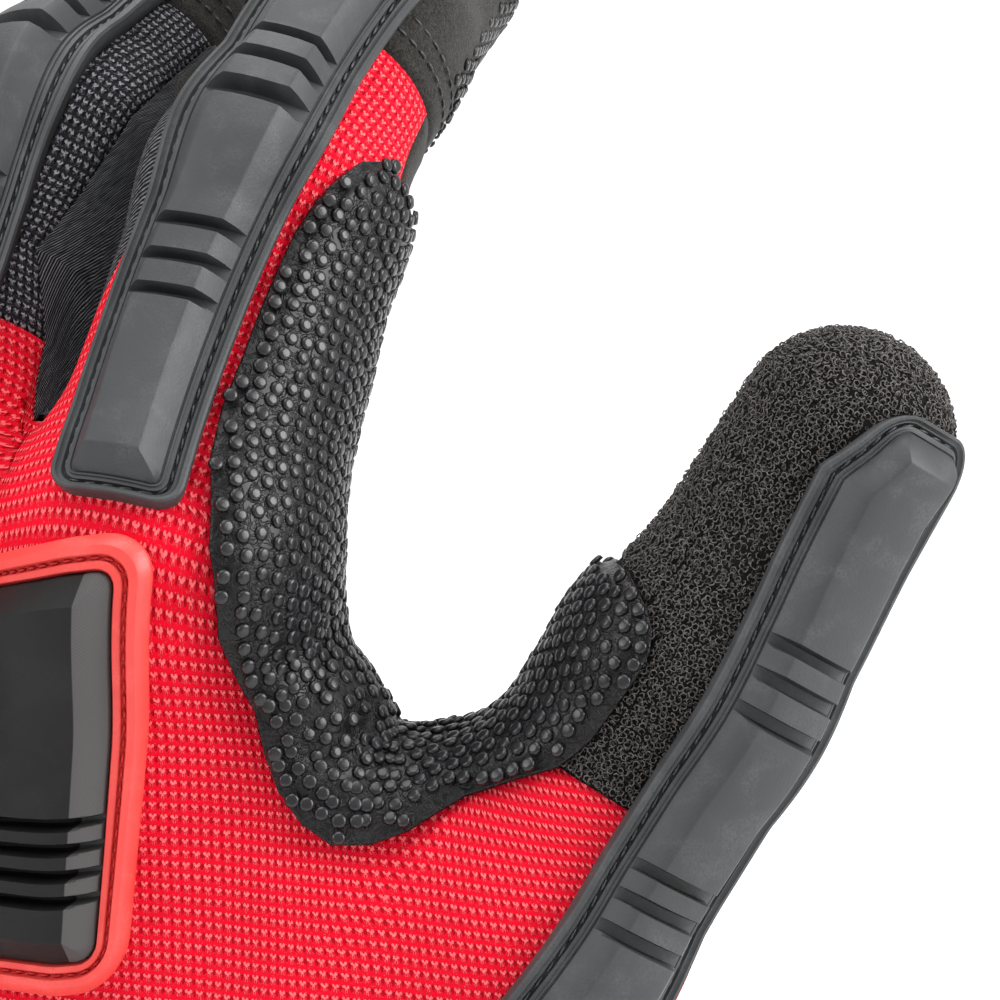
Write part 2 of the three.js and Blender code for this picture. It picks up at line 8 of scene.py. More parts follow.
# %% Frame
import math
import bpy
import numpy as np
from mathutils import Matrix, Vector


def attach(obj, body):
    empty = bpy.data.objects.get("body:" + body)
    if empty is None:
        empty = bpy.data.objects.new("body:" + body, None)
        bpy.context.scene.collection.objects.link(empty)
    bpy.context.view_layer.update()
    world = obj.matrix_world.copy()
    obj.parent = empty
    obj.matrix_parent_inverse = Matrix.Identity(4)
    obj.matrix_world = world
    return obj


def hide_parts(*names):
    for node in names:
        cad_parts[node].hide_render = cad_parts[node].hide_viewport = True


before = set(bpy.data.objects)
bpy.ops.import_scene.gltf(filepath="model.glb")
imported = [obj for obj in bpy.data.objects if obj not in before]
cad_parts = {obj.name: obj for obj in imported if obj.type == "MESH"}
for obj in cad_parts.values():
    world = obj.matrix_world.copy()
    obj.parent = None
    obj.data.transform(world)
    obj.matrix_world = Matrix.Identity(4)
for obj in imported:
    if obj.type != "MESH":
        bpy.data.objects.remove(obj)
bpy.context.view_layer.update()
MM = 0.001
print("nodes:", len(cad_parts))

# %% [markdown]
# The form of the glove is a distance: tapered round bars for the bones of the hand, the fingers
# and the thumb, melted together where they meet. A distance makes it easy to set any piece on
# the surface: shoot a ray from inside, or walk a guess down the slope.

# %% The form's numbers
FINGERS = {
    # knuckle, bone lengths, bend of each bone, sideways lean, radii at the joints, slimness,
    # station of the root ring, station of the cap seam
    "little": dict(at=(-52, 5, 131), bones=(36, 21, 18), bend=(42, 72, 90), lean=-4,
                   r=(12.4, 11.6, 11.0, 10.0), slim=1.2, root=19, cap=52),
    "ring": dict(at=(-29, 0, 142), bones=(46, 29, 21), bend=(40, 72, 90), lean=-1,
                 r=(13.6, 13.0, 12.2, 11.0), slim=1.22, root=20, cap=66),
    "middle": dict(at=(-4, -2, 149), bones=(50, 31, 21), bend=(37, 66, 84), lean=0,
                   r=(14.6, 13.8, 12.8, 11.4), slim=1.16, root=20, cap=70),
    "index": dict(at=(25, 0, 145), bones=(46, 27, 20), bend=(30, 49, 64), lean=1.5,
                  r=(16.6, 15.0, 13.2, 11.4), slim=1.04, root=22, cap=64),
}
THUMB = dict(pts=((34, 8, 66), (65.5, 17, 102), (80.5, 25, 131), (94.8, 34, 159)),
             r=(16.5, 14.8, 13.6, 12.6), side=(0.75, 0.3, -0.6))
HAND = [  # from x, y, z to x, y, z, radius at each end
    (15, 3, 56, 25, 0, 145, 16, 15.5), (3, 1, 56, -4, -2, 149, 17, 14.5),
    (-9, 2, 56, -29, 0, 142, 17, 13.6), (-19, 5, 56, -52, 5, 131, 15, 12.4),
    (-20, 14, 62, -42, 13, 112, 13, 12), (20, 12, 62, 44, 15, 98, 16, 13),
    (-15, 6, -30, -13, 5, 60, 18.5, 19.5), (0, 6, -30, 0, 5, 60, 20.5, 20.5),
    (15, 6, -30, 13, 5, 60, 18.5, 19.5),
]
WEB = [(38, 5, 95, 38.5, 5, 124, 13, 8.5), (44, 8, 109, 63, 17, 113, 9, 9)]
BLEND = dict(hand=9, joint=4, root=8, thumb=14, web=12, thumb_joint=8)
CUFF_TOP = 55
SEAM_BACK, SEAM_MID, SEAM_SIDE, TERRY_SEAM = 60, 80, 100, 68
WEB_DEPTH, WEB_HALF = 16, 48

# %% [markdown]
# The distance to a bar is the distance to its line less the radius there. Two bars melt where
# their distances are nearly equal, as the flesh between two bones does. The slope of the
# distance is the way out of the glove, and gives the normal at any place.

# %% The form
def unit(v):
    """Each vector divided by its length."""
    return v / np.maximum(np.linalg.norm(v, axis=-1, keepdims=True), 1e-9)


def dot(a, b):
    """Sum of the products of the coordinates."""
    return (a * b).sum(-1)


class Axis:
    """A finger's bones: joints, radii, the direction across it and how much it is slimmer."""

    def __init__(self, pts, r, side, slim=1.0, root=0, cap=0):
        self.pts, self.side = np.array(pts, float), unit(np.array(side, float))
        self.r, self.slim = r, slim
        steps = np.diff(self.pts, axis=0)
        self.dirs, lengths = unit(steps), np.linalg.norm(steps, axis=1)
        self.starts, self.total = np.array([0, lengths[0], lengths[:2].sum()]), lengths.sum()
        self.root, self.cap, self.tip = root, cap, lengths.sum() + r[3] * np.pi / 2


def finger_axis(f):
    """Joints from bone lengths; a bone bent by b and leaning by l points to
    (sin l cos b, sin b, cos l cos b)."""
    lean, pts = math.radians(f["lean"]), [np.array(f["at"], float)]
    for length, bend in zip(f["bones"], np.radians(f["bend"])):
        way = (math.sin(lean) * math.cos(bend), math.sin(bend), math.cos(lean) * math.cos(bend))
        pts.append(pts[-1] + length * np.array(way))
    return Axis(pts, f["r"], (math.cos(lean), 0, -math.sin(lean)), f["slim"], f["root"], f["cap"])


LITTLE, RING, MIDDLE, INDEX = [finger_axis(FINGERS[n]) for n in ("little", "ring", "middle", "index")]
DIGIT = Axis(THUMB["pts"], THUMB["r"], THUMB["side"])


def bar(p, a, b, ra, rb, side=None, slim=1.0):
    """Distance to a tapered bar: distance to the nearest point of its line, less the radius
    there. Stretched along side by slim, so that the bar is slimmer that way."""
    ab = b - a
    t = np.clip(((p - a) @ ab) / (ab @ ab), 0, 1)
    off = p - a - t[..., None] * ab
    if side is not None:
        off = off + (slim - 1) * (off @ side)[..., None] * side
    return np.sqrt(dot(off, off)) - (ra + (rb - ra) * t)


def melt(a, b, k):
    """The smaller of two distances, rounded where they are within k of each other."""
    h = np.maximum(k - np.abs(a - b), 0) / k
    return np.minimum(a, b) - h * h * k / 4


def melted(bars, k):
    """All bars melted together one after another."""
    total = None
    for one in bars:
        total = one if total is None else melt(total, one, k)
    return total


def chain(p, f, k):
    """Distance to the three bones of a finger."""
    return melted([bar(p, f.pts[i], f.pts[i + 1], f.r[i], f.r[i + 1], f.side, f.slim)
                   for i in range(3)], k)


def form(p):
    """Distance from the outer face of the fabric, negative inside."""
    ends = [(np.array(h[:3], float), np.array(h[3:6], float), h[6], h[7]) for h in HAND]
    webs = [(np.array(h[:3], float), np.array(h[3:6], float), h[6], h[7]) for h in WEB]
    body = melted([bar(p, *e) for e in ends], BLEND["hand"])
    for e in webs:
        body = melt(body, bar(p, *e), BLEND["web"])
    fingers = np.minimum.reduce([chain(p, f, BLEND["joint"]) for f in (LITTLE, RING, MIDDLE, INDEX)])
    body = melt(body, fingers, BLEND["root"])
    return melt(body, chain(p, DIGIT, BLEND["thumb_joint"]), BLEND["thumb"])


def slope(p):
    """Change of the distance along x, y and z, by small steps both ways."""
    h = 0.05
    return np.stack([(form(p + d) - form(p - d)) / (2 * h) for d in np.eye(3) * h], -1)


def press(p, steps=3):
    """Guesses moved onto the form: against the slope by the distance over its square."""
    for _ in range(steps):
        g = slope(p)
        p = p - (0.95 * form(p) / np.maximum(dot(g, g), 0.05))[..., None] * g
    return p

# %% [markdown]
# A ray from the bone outwards finds the fabric at a station and an angle of a finger, so every
# seam of the glove can be given as a short table of stations and angles. Past the last joint the
# ray tilts over the fingertip.

# %% Rays and stations
def cast(core, way):
    """From points inside outwards along way: steps of 0.4 of the distance, then halving."""
    core, way = np.broadcast_arrays(core, unit(way))
    last = np.zeros(core.shape[:-1])
    t, open_ = last.copy(), np.ones(last.shape, bool)
    for _ in range(400):
        f = form(core[open_] + t[open_][:, None] * way[open_])
        inside = (f < 0) & (t[open_] < 90)
        spot = np.flatnonzero(open_.ravel())
        go = spot[inside]
        last.ravel()[go] = t.ravel()[go]
        t.ravel()[go] += np.maximum(-0.4 * f[inside], 0.12)
        open_.ravel()[spot[~inside]] = False
        if not len(go):
            break
    for _ in range(14):
        middle = (last + t) / 2
        inside = form(core + middle[..., None] * way) < 0
        last, t = np.where(inside, middle, last), np.where(inside, t, middle)
    return core + t[..., None] * way


def station(f, s):
    """Place, direction, side and back direction at a station of an axis, and past the last
    joint the tilt of the ray over the fingertip, station over the tip radius."""
    t = np.minimum(s, f.total)
    i = (t >= f.starts[1]).astype(int) + (t >= f.starts[2])
    at = f.pts[i] + f.dirs[i] * (t - f.starts[i])[..., None]
    way = np.broadcast_to(f.dirs[0], at.shape)
    for j in (1, 2):
        w = np.clip((t - f.starts[j] + 9) / 18, 0, 1)[..., None]
        way = way + (f.dirs[j] - way) * w * w * (3 - 2 * w)
    way = unit(way)
    side = unit(f.side - dot(way, f.side)[..., None] * way)
    return at, way, side, np.cross(side, way), np.maximum(s - f.total, 0) / f.r[3]


def on_finger(f, s, angle):
    """Point of the form at a station and an angle from the back towards the thumb side."""
    s, angle = np.broadcast_arrays(np.asarray(s, float), np.radians(np.asarray(angle, float)))
    at, way, side, back, tilt = station(f, s)
    ring = back * np.cos(angle)[..., None] + side * np.sin(angle)[..., None]
    return cast(at, ring * np.cos(tilt)[..., None] + way * np.sin(tilt)[..., None])


def on_wrist(z, angle):
    """Point of the form at a height of the wrist, angle from the back to the thumb side."""
    z, angle = np.broadcast_arrays(np.asarray(z, float), np.radians(np.asarray(angle, float)))
    way = np.stack([1.6 * np.sin(angle), -np.cos(angle), 0 * angle], -1)
    return cast(np.stack([0 * z, 0 * z + 5, z], -1), way)


print("index tip station", round(INDEX.tip, 1), "thumb", round(DIGIT.tip, 1))

# %% [markdown]
# A sewn panel is a grid of guesses between its seams, pressed onto the form. Grids that share a
# seam line share its points, so the welded sheet has no crack. The panel then gets its wall: an
# outer face, an inner face and a rim. Near its seams the outer face dips, as sewn cloth does.

# %% From grids to closed walls
def refine(rows, across, along):
    """Straight interpolation of a coarse grid: each cell is cut into across by along parts."""
    def cut(a, parts, axis):
        a = np.moveaxis(a, axis, 0)
        parts = np.broadcast_to(parts, len(a) - 1)
        whole = np.repeat(np.arange(len(a) - 1), parts)
        share = np.concatenate([np.arange(k) / k for k in parts])
        out = a[whole] + share.reshape((-1,) + (1,) * (a.ndim - 1)) * (a[whole + 1] - a[whole])
        return np.moveaxis(np.concatenate([out, a[-1:]]), 0, axis)
    return cut(cut(rows, across, 1), along, 0)


def arc(points, zero=0, flat=False):
    """Length along each row from column zero; flat leaves the height out."""
    step = np.diff(points, axis=1)
    if flat:
        step = step[..., :2]
    run = np.concatenate([np.zeros((len(points), 1)), np.cumsum(np.linalg.norm(step, axis=-1), 1)], 1)
    return run - run[:, zero:zero + 1]


def length_along(line):
    """Length along a line of points, from zero at its first."""
    return np.concatenate([[0], np.cumsum(np.linalg.norm(np.diff(line, axis=0), axis=1))])


def place_along(s, run, values):
    """Places on a line: its points' coordinates interpolated at the lengths s of its run."""
    return np.stack([np.interp(s, run, values[:, k]) for k in range(3)], -1)


def nearest(p, q, chunk=4000):
    """Distance from each point of p to the nearest of q."""
    out = np.empty(len(p))
    for i in range(0, len(p), chunk):
        d = p[i:i + chunk, None] - q[None]
        out[i:i + chunk] = np.sqrt(dot(d, d).min(1))
    return out


def ripple(p, seed, size, count=14):
    """Soft unevenness: the mean of waves in random directions, each a sine of the place."""
    rng = np.random.default_rng(seed)
    way = unit(rng.normal(size=(count, 3))) * (2 * np.pi / (size * rng.uniform(0.7, 1.8, (count, 1))))
    return np.sin(p @ way.T + rng.uniform(0, 2 * np.pi, count)).sum(-1) / math.sqrt(count)

# %% [markdown]
# Every piece ends as a mesh with a finish. Small bodies that repeat, such as stitches, loops and
# dots, share one list of faces.

# %% Meshes and finishes
def add_mesh(name, verts, faces, uv=None):
    """A smooth mesh object from millimetres, triangles or quads, and one uv per face corner."""
    mesh = bpy.data.meshes.new(name)
    mesh.from_pydata((np.asarray(verts) * MM).tolist(), [], np.asarray(faces).tolist())
    if uv is not None:
        layer = mesh.uv_layers.new(name="sewn")
        layer.data.foreach_set("uv", np.asarray(uv, np.float32).ravel())
    mesh.shade_smooth()
    obj = bpy.data.objects.new(name, mesh)
    bpy.context.scene.collection.objects.link(obj)
    return obj


def wear(obj, finish, node=None):
    """Gives a piece its finish, sets it to ride on the root and, where a node is given, hides that
    solid of the model."""
    obj.data.materials.append(FINISH[finish])
    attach(obj, "root")
    if node:
        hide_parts(node)


def tube_faces(rings, sides):
    """Quads of a tube from its rings of points, one ring after another."""
    i, j = np.meshgrid(np.arange(rings - 1), np.arange(sides), indexing="ij")
    a, b = i * sides + j, i * sides + (j + 1) % sides
    return np.stack([a, b, b + sides, a + sides], -1).reshape(-1, 4)


def repeated(faces, times, points):
    """The faces of one small body, for as many bodies as wanted, each of so many points."""
    return (np.arange(times)[:, None, None] * points + faces).reshape(-1, 4)

# %% [markdown]
# The grids of one panel are welded to one sheet. Its open edge, the rim, is where the real piece
# is cut and sewn.

# %% Welding and walls
def weld(grids):
    """Points of all grids with equal ones joined, triangles that face outwards, the uv of each
    corner, and the rim edges. A grid is points, uv and, where wanted, a mask of its cells and a
    mask of the cells cut along the other diagonal."""
    flat = np.concatenate([g[0].reshape(-1, 3) for g in grids])
    uv = np.concatenate([g[1].reshape(-1, 2) for g in grids])
    _, kept, back = np.unique(np.round(flat * 50 + 0.317), axis=0, return_index=True,
                              return_inverse=True)
    back = back.ravel()
    corners, start = [], 0
    for g in grids:
        m, n = g[0].shape[:2]
        ids = start + np.arange(m * n).reshape(m, n)
        a, b, c, d = ids[:-1, :-1], ids[:-1, 1:], ids[1:, 1:], ids[1:, :-1]
        keep = np.ones(a.shape, bool) if len(g) < 3 or g[2] is None else g[2]
        turned = np.zeros(a.shape, bool) if len(g) < 4 else g[3]
        one, two = keep & ~turned, keep & turned
        tri = np.concatenate([np.stack([a, b, c], -1)[one], np.stack([a, c, d], -1)[one],
                              np.stack([a, b, d], -1)[two], np.stack([b, c, d], -1)[two]])
        p = flat[tri]
        area = np.cross(p[:, 1] - p[:, 0], p[:, 2] - p[:, 0])
        some = slice(None, None, max(1, len(tri) // 400))
        if dot(area[some], slope(p[some].mean(1))).sum() < 0:
            tri = tri[:, ::-1]
        corners.append(tri)
        start += m * n
    corners = np.concatenate(corners)
    tri = back[corners]
    good = (tri[:, 0] != tri[:, 1]) & (tri[:, 1] != tri[:, 2]) & (tri[:, 2] != tri[:, 0])
    tri, corners = tri[good], corners[good]
    edges = np.concatenate([tri[:, [0, 1]], tri[:, [1, 2]], tri[:, [2, 0]]])
    many = len(kept)
    rim = edges[~np.isin(edges[:, 0] * many + edges[:, 1], edges[:, 1] * many + edges[:, 0])]
    return flat[kept], tri, uv[corners], rim, kept


def panel(name, grids, low, high, finish, node, tuck=0.45, wide=1.1, extra=None):
    """A closed wall on the form from height low to height high, both in mm or arrays over the
    welded points. The outer face is lowered by tuck times exp(-(d/wide)^2), d from the rim."""
    points, tri, uv, rim, kept = weld(grids)
    normal = unit(slope(points))
    used = np.unique(tri)
    d = nearest(points, points[np.unique(rim)])
    top = high(points, kept) if callable(high) else np.full(len(points), float(high))
    top = top - tuck * np.exp(-(d / wide) ** 2)
    if extra is not None:
        top = top + extra(points) * (1 - np.exp(-(d / 3) ** 2))
    under = low(points, kept) if callable(low) else np.full(len(points), float(low))
    outer, inner = points + normal * top[:, None], points + normal * under[:, None]
    n, (a, b) = len(points), rim.T
    faces = np.concatenate([tri, tri[:, ::-1] + n, np.stack([a, a + n, b + n], -1),
                            np.stack([a, b + n, b], -1)])
    place = np.zeros((n, 2))
    place[tri.ravel()] = uv.reshape(-1, 2)
    uvs = np.concatenate([uv, uv[:, ::-1], place[np.stack([a, a, b], -1)],
                          place[np.stack([a, b, b], -1)]])
    order = np.full(2 * n, -1)
    both = np.concatenate([used, used + n])
    order[both] = np.arange(len(both))
    obj = add_mesh(name, np.concatenate([outer, inner])[both], order[faces], uvs)
    wear(obj, finish, node)
    print(name, len(obj.data.polygons), "triangles")
    return obj

# %% [markdown]
# The back and the palm of the hand end at a row that runs over the roots of the fingers and down
# into the webs between them. Towards the thumb they follow the fork between index finger and
# thumb, and a second grid covers the root of the thumb up to the terry cloth.

# %% Rows of the hand
BACK = np.linspace(-SEAM_BACK, SEAM_BACK, 5)
PALM = np.linspace(180 - SEAM_BACK, 180 + SEAM_BACK, 5)


def web_row(near, far):
    """A core between two fingers below their slit, its main way out and its back way."""
    a, b = [station(f, np.array(f.root - WEB_DEPTH, float)) for f in (near, far)]
    wide = [(f.r[0] + f.r[1]) / 2 / f.slim for f in (near, far)]
    return a[0] + (b[0] - a[0]) * wide[0] / sum(wide), unit(a[1] + b[1]), unit(a[3] + b[3])


def on_row(row, angle):
    """From a row's core outwards, turned from its main way by the angle towards its back way."""
    angle = np.radians(np.asarray(angle, float))[..., None]
    return cast(row[0], row[1] * np.cos(angle) + row[2] * np.sin(angle))


WEBS = [web_row(RING, LITTLE), web_row(MIDDLE, RING), web_row(INDEX, MIDDLE)]


def top_row(sign):
    """Points over the finger roots from the little finger side to the thumb side."""
    angles = BACK if sign > 0 else PALM[::-1]
    parts = [on_finger(LITTLE, LITTLE.root, [-SEAM_SIDE if sign > 0 else 360 - SEAM_SIDE])]
    for i, f in enumerate((LITTLE, RING, MIDDLE, INDEX)):
        parts.append(on_finger(f, f.root, angles))
        if i < 3:
            parts.append(on_row(WEBS[i], [sign * WEB_HALF]))
    if sign > 0:
        parts.append(on_finger(INDEX, INDEX.root, [SEAM_MID]))
    parts.append(on_finger(INDEX, INDEX.root, [SEAM_SIDE]))
    return np.concatenate(parts)

# %% [markdown]
# The cloth between index finger and thumb is a saddle. Rows across it start on the index finger,
# cross the open web and end on the thumb; the dotted patch and the hand both use them.

# %% The fork of the thumb
def fork_row(kind, at, top, under, main=None, back=(0, -1, 0)):
    """One row across the fork: on the index finger or the thumb at a station, or in the open
    with its own ways. Top and under are the angles where the dotted patch ends."""
    if kind == "open":
        at, main, back = [np.array(v, float) for v in (at, main, back)]
        main = unit(main)
    else:
        f = INDEX if kind == "index" else DIGIT
        at, _, side, back, _ = station(f, np.array(at, float))
        main = side if kind == "index" else -side
    return at, main, unit(back - dot(back, main) * main), top, under


FORK = [fork_row(*row) for row in (
    ("index", 50.8, 7, -34), ("index", 47.5, 24, -44), ("index", 41, 38, -50), ("index", 32, 45, -52),
    ("index", 20, 49, -52), ("index", 7, 50.5, -52),
    ("open", (30, 2, 138), 62, -55, (1, 0.1, 0.05)), ("open", (34, 4, 127), 66, -60, (1, 0.2, 0.35)),
    ("open", (40, 6, 117), 79, -66, (0.7, 0.2, 0.7)), ("open", (48, 10, 110), 78, -66, (0.25, 0.1, 1)),
    ("open", (58, 14, 110), 66, -60, (-0.2, 0, 1)),
    ("open", (66, 17, 112), 62, -56, (-0.6, 0.1, 0.8), (0.15, -1, 0)),
    ("thumb", 68, 57, -50), ("thumb", 77, 66, -46), ("thumb", 84, 67, -40), ("thumb", 87.6, 55, -30),
    ("thumb", 89.8, 32, -16))]
RIDGE = np.array([on_row(row, 0) for row in FORK])
print("rows across the fork", len(FORK))
LOW = 9  # the fork's lowest row
FINE, PALM_FINE = 8, 4  # parts of a coarse cell of the back and of the palm
TALL = np.array([18, 18, 14, 12, 10, 8, 8, 8, 8])  # parts of each coarse row of the back
HAND_SIDES = {
    # side: first angle round the wrist and the sweep from it to the fork, how far the columns bow,
    # angle of the terry seam where the thumb's root begins, parts across and along
    1: (-SEAM_SIDE, 150, -6, -90, FINE, TALL),
    -1: (360 - SEAM_SIDE, -110, 16, 270, PALM_FINE, TALL // 2),
}

# %% [markdown]
# The grid of the hand has a column for each point of the row over the finger roots. The thumb's
# root has its own grid, because its rows turn by a right angle towards the thumb.

# %% Grids of the hand
def hand_grids(sign):
    """The grid of the hand from the cuff to the finger roots and the grid of the thumb's root,
    both finely divided and pressed. A column climbs as a bent line from the cuff over a knee
    below the knuckle; near the thumb it is pulled onto the fork's ridge."""
    first, sweep, deep, begin, parts, tall = HAND_SIDES[sign]
    top = top_row(sign)
    run = length_along(top)
    run = run / run[-1]

    def bow(v):
        return np.stack([0 * v, deep * np.sin(np.pi * v), 0 * v], -1)

    low = on_wrist(CUFF_TOP, first + sweep * run)
    shares = np.array([0, 0.16, 0.32, 0.46, 0.58, 0.68, 0.76, 0.84, 0.92, 1])
    lower = 5
    right = np.empty((len(shares), 3))
    part = np.arange(lower) / lower
    right[:lower] = press(low[-1] + part[:, None] * (RIDGE[LOW] - low[-1]) + bow(part), 10)
    right[0] = low[-1]
    right[lower:-1] = RIDGE[[9, 8, 7, 6]]
    right[-1] = top[-1]
    v, w = shares[:, None, None], run[None, :, None]
    knee = np.stack([top[:, 0], low[:, 1] - 4, top[:, 2] - 16], -1)
    a = low + (knee - low) * v if sign > 0 else low
    b = knee + (top - knee) * v if sign > 0 else top
    pull = low[-1] + (top[-1] - low[-1]) * shares[:, None]
    rows = a + (b - a) * v + (right - pull)[:, None] * w ** 3
    rows = press(rows, 10)
    rows[0], rows[-1], rows[:, -1] = low, top, right
    angles = np.linspace(begin, SEAM_SIDE, 7)
    over = np.concatenate([RIDGE[[LOW, 10, 11]], on_finger(DIGIT, TERRY_SEAM, angles)])
    m = len(over)
    foot = on_wrist(CUFF_TOP, first + sweep + (SEAM_SIDE - first - sweep) * np.linspace(0, 1, m))
    column, v = right[:lower + 1], np.linspace(0, 1, lower + 1)
    outer = press(foot[-1] + v[:, None] * (over[-1] - foot[-1]), 10)
    w, v = np.linspace(0, 1, m)[None, :, None], v[:, None, None]
    root = foot + (over - foot) * v
    root = root + (column - (foot[0] + (over[0] - foot[0]) * v[:, 0]))[:, None] * (1 - w)
    root = root + (outer - (foot[-1] + (over[-1] - foot[-1]) * v[:, 0]))[:, None] * w
    root = press(root + bow(v[:, :, 0]) * np.sin(np.pi * w), 10)
    root[0], root[-1], root[:, 0], root[:, -1] = foot, over, column, outer
    fine = press(refine(rows, parts, tall), 2)
    fine_root = press(refine(root, parts, tall[:lower]), 2)
    return fine, fine_root

# %% [markdown]
# A finger's panels are grids of stations and angles. On two fingers a seam wanders: the red knit
# of the index finger gets narrower, and so does the grey knit beside the stretch fabric.

# %% Grids of the fingers
def finger_grid(f, a, b, angles, across=6, along=8, n=5):
    """Grid on a finger from station a to b at the angles, finely divided and pressed. Angles are
    one row, or one row for each of the n + 1 stations."""
    s = np.linspace(a, b, n + 1)
    rows = on_finger(f, s[:, None], np.atleast_2d(np.asarray(angles, float)))
    fine = press(refine(rows, across, along), 2)
    v = np.linspace(a, b, len(fine))
    middle = int(np.argmin(np.abs(np.atleast_2d(angles)[0] % 360))) * across
    uv = np.stack([arc(fine, middle), np.broadcast_to(v[:, None], fine.shape[:2])], -1)
    return fine, uv


def ramp(rows):
    """Interpolation in a table of station and value, rounded by a mean over 6 mm."""
    table = np.array(rows, float)
    near = np.linspace(-3, 3, 7)
    return lambda s: np.interp(np.asarray(s)[..., None] + near, table[:, 0], table[:, 1]).mean(-1)


MIDDLE_EDGE = ramp([(20, 60), (23, 44), (30, 35), (38, 46), (45, 58), (70, 60)])
BACK_EDGE = ramp([(22, -60), (33, -40), (41, -16), (50, -2), (64, -2)])


# %% [markdown]
# First light: a pale floor that runs into a pale wall, soft light from both sides and from
# above, and a long lens that stands where the photographer stood.

# %% Stage and camera
def plain(name, colour, rough=0.8):
    """A plain material, with colour in linear red, green, blue."""
    material = bpy.data.materials.new(name)
    material.use_nodes = True
    shader = material.node_tree.nodes["Principled BSDF"]
    shader.inputs["Base Color"].default_value = (*colour, 1)
    shader.inputs["Roughness"].default_value = rough
    return material


def add_light(name, spot, target, side, watts):
    """A square soft light at a spot, turned to a target, both in metres."""
    data = bpy.data.lights.new(name, "AREA")
    data.shape, data.size, data.energy = "SQUARE", side, watts
    lamp = bpy.data.objects.new(name, data)
    lamp.location = spot
    lamp.rotation_euler = (Vector(target) - Vector(spot)).to_track_quat("-Z", "Y").to_euler()
    bpy.context.scene.collection.objects.link(lamp)


FLOOR_SHARE, CURVE_SHARE = 0.55, 0.25
FLOOR_FRONT, FLOOR_DEPTH, CURVE_RADIUS, WALL_RISE = -2.0, 3.4, 0.8, 12
AZIMUTH, ELEVATION, DISTANCE, LENS = math.radians(28), math.radians(6), 0.62, 196.4
reach = np.linspace(0, 1, 40)
bend = np.clip((reach - FLOOR_SHARE) / CURVE_SHARE, 0, 1) * np.pi / 2
deep = np.where(reach < FLOOR_SHARE, reach / FLOOR_SHARE * FLOOR_DEPTH + FLOOR_FRONT,
                FLOOR_FRONT + FLOOR_DEPTH + CURVE_RADIUS * np.sin(bend))
high = np.where(reach < FLOOR_SHARE, 0, CURVE_RADIUS * (1 - np.cos(bend)))
high = high + np.maximum(reach - FLOOR_SHARE - CURVE_SHARE, 0) * WALL_RISE
span = np.array([-4.0, 4.0])
sweep = np.stack(np.broadcast_arrays(span[None], deep[:, None], high[:, None]), -1)
c, s = math.cos(AZIMUTH), math.sin(AZIMUTH)
sweep = sweep @ np.array([[c, s, 0], [-s, c, 0], [0, 0, 1]])
ids = np.arange(80).reshape(40, 2)
quads = np.stack([ids[:-1, 0], ids[:-1, 1], ids[1:, 1], ids[1:, 0]], -1)
floor = add_mesh("floor", sweep.reshape(-1, 3) / MM, quads)
floor.data.materials.append(plain("pale_floor", (0.86, 0.86, 0.86), 0.9))

# %% [markdown]
# The camera has a long lens, because the photograph shows hardly any perspective. Four soft
# lights and a white world give the even light of a product picture.

# %% Camera and light
TARGET = Vector((0.0595, 0.0178, 0.1518))
camera = bpy.data.objects.new("camera", bpy.data.cameras.new("camera"))
away = Vector((math.sin(AZIMUTH) * math.cos(ELEVATION), -math.cos(AZIMUTH) * math.cos(ELEVATION),
               math.sin(ELEVATION)))
camera.location = TARGET + away * DISTANCE
camera.rotation_euler = (-away).to_track_quat("-Z", "Y").to_euler()
camera.data.sensor_width, camera.data.lens = 36, LENS
camera.data.clip_start, camera.data.clip_end = 0.01, 20
bpy.context.scene.collection.objects.link(camera)
bpy.context.scene.camera = camera

world = bpy.data.worlds.new("studio")
world.use_nodes = True
world.node_tree.nodes["Background"].inputs["Color"].default_value = (1, 1, 1, 1)
world.node_tree.nodes["Background"].inputs["Strength"].default_value = 0.75
bpy.context.scene.world = world
bpy.context.scene.view_settings.view_transform = "Standard"
across = Vector((math.cos(AZIMUTH), math.sin(AZIMUTH), 0))
middle = Vector((0.03, 0.01, 0.13))
add_light("right", middle + across * 0.75 + away * 0.2 + Vector((0, 0, 0.3)), middle, 0.5, 10)
add_light("left", middle - across * 0.8 + away * 0.35 + Vector((0, 0, 0.45)), middle, 0.5, 5)
add_light("above", middle + away * 0.2 + Vector((0, 0, 0.9)), middle, 0.7, 7)
wall = middle - away * 1.6
add_light("wall", middle - away * 0.5 + Vector((0, 0, 0.9)), wall, 0.6, 14)
print("camera", [round(c, 3) for c in camera.location])

# %% [markdown]
# Materials are node trees.

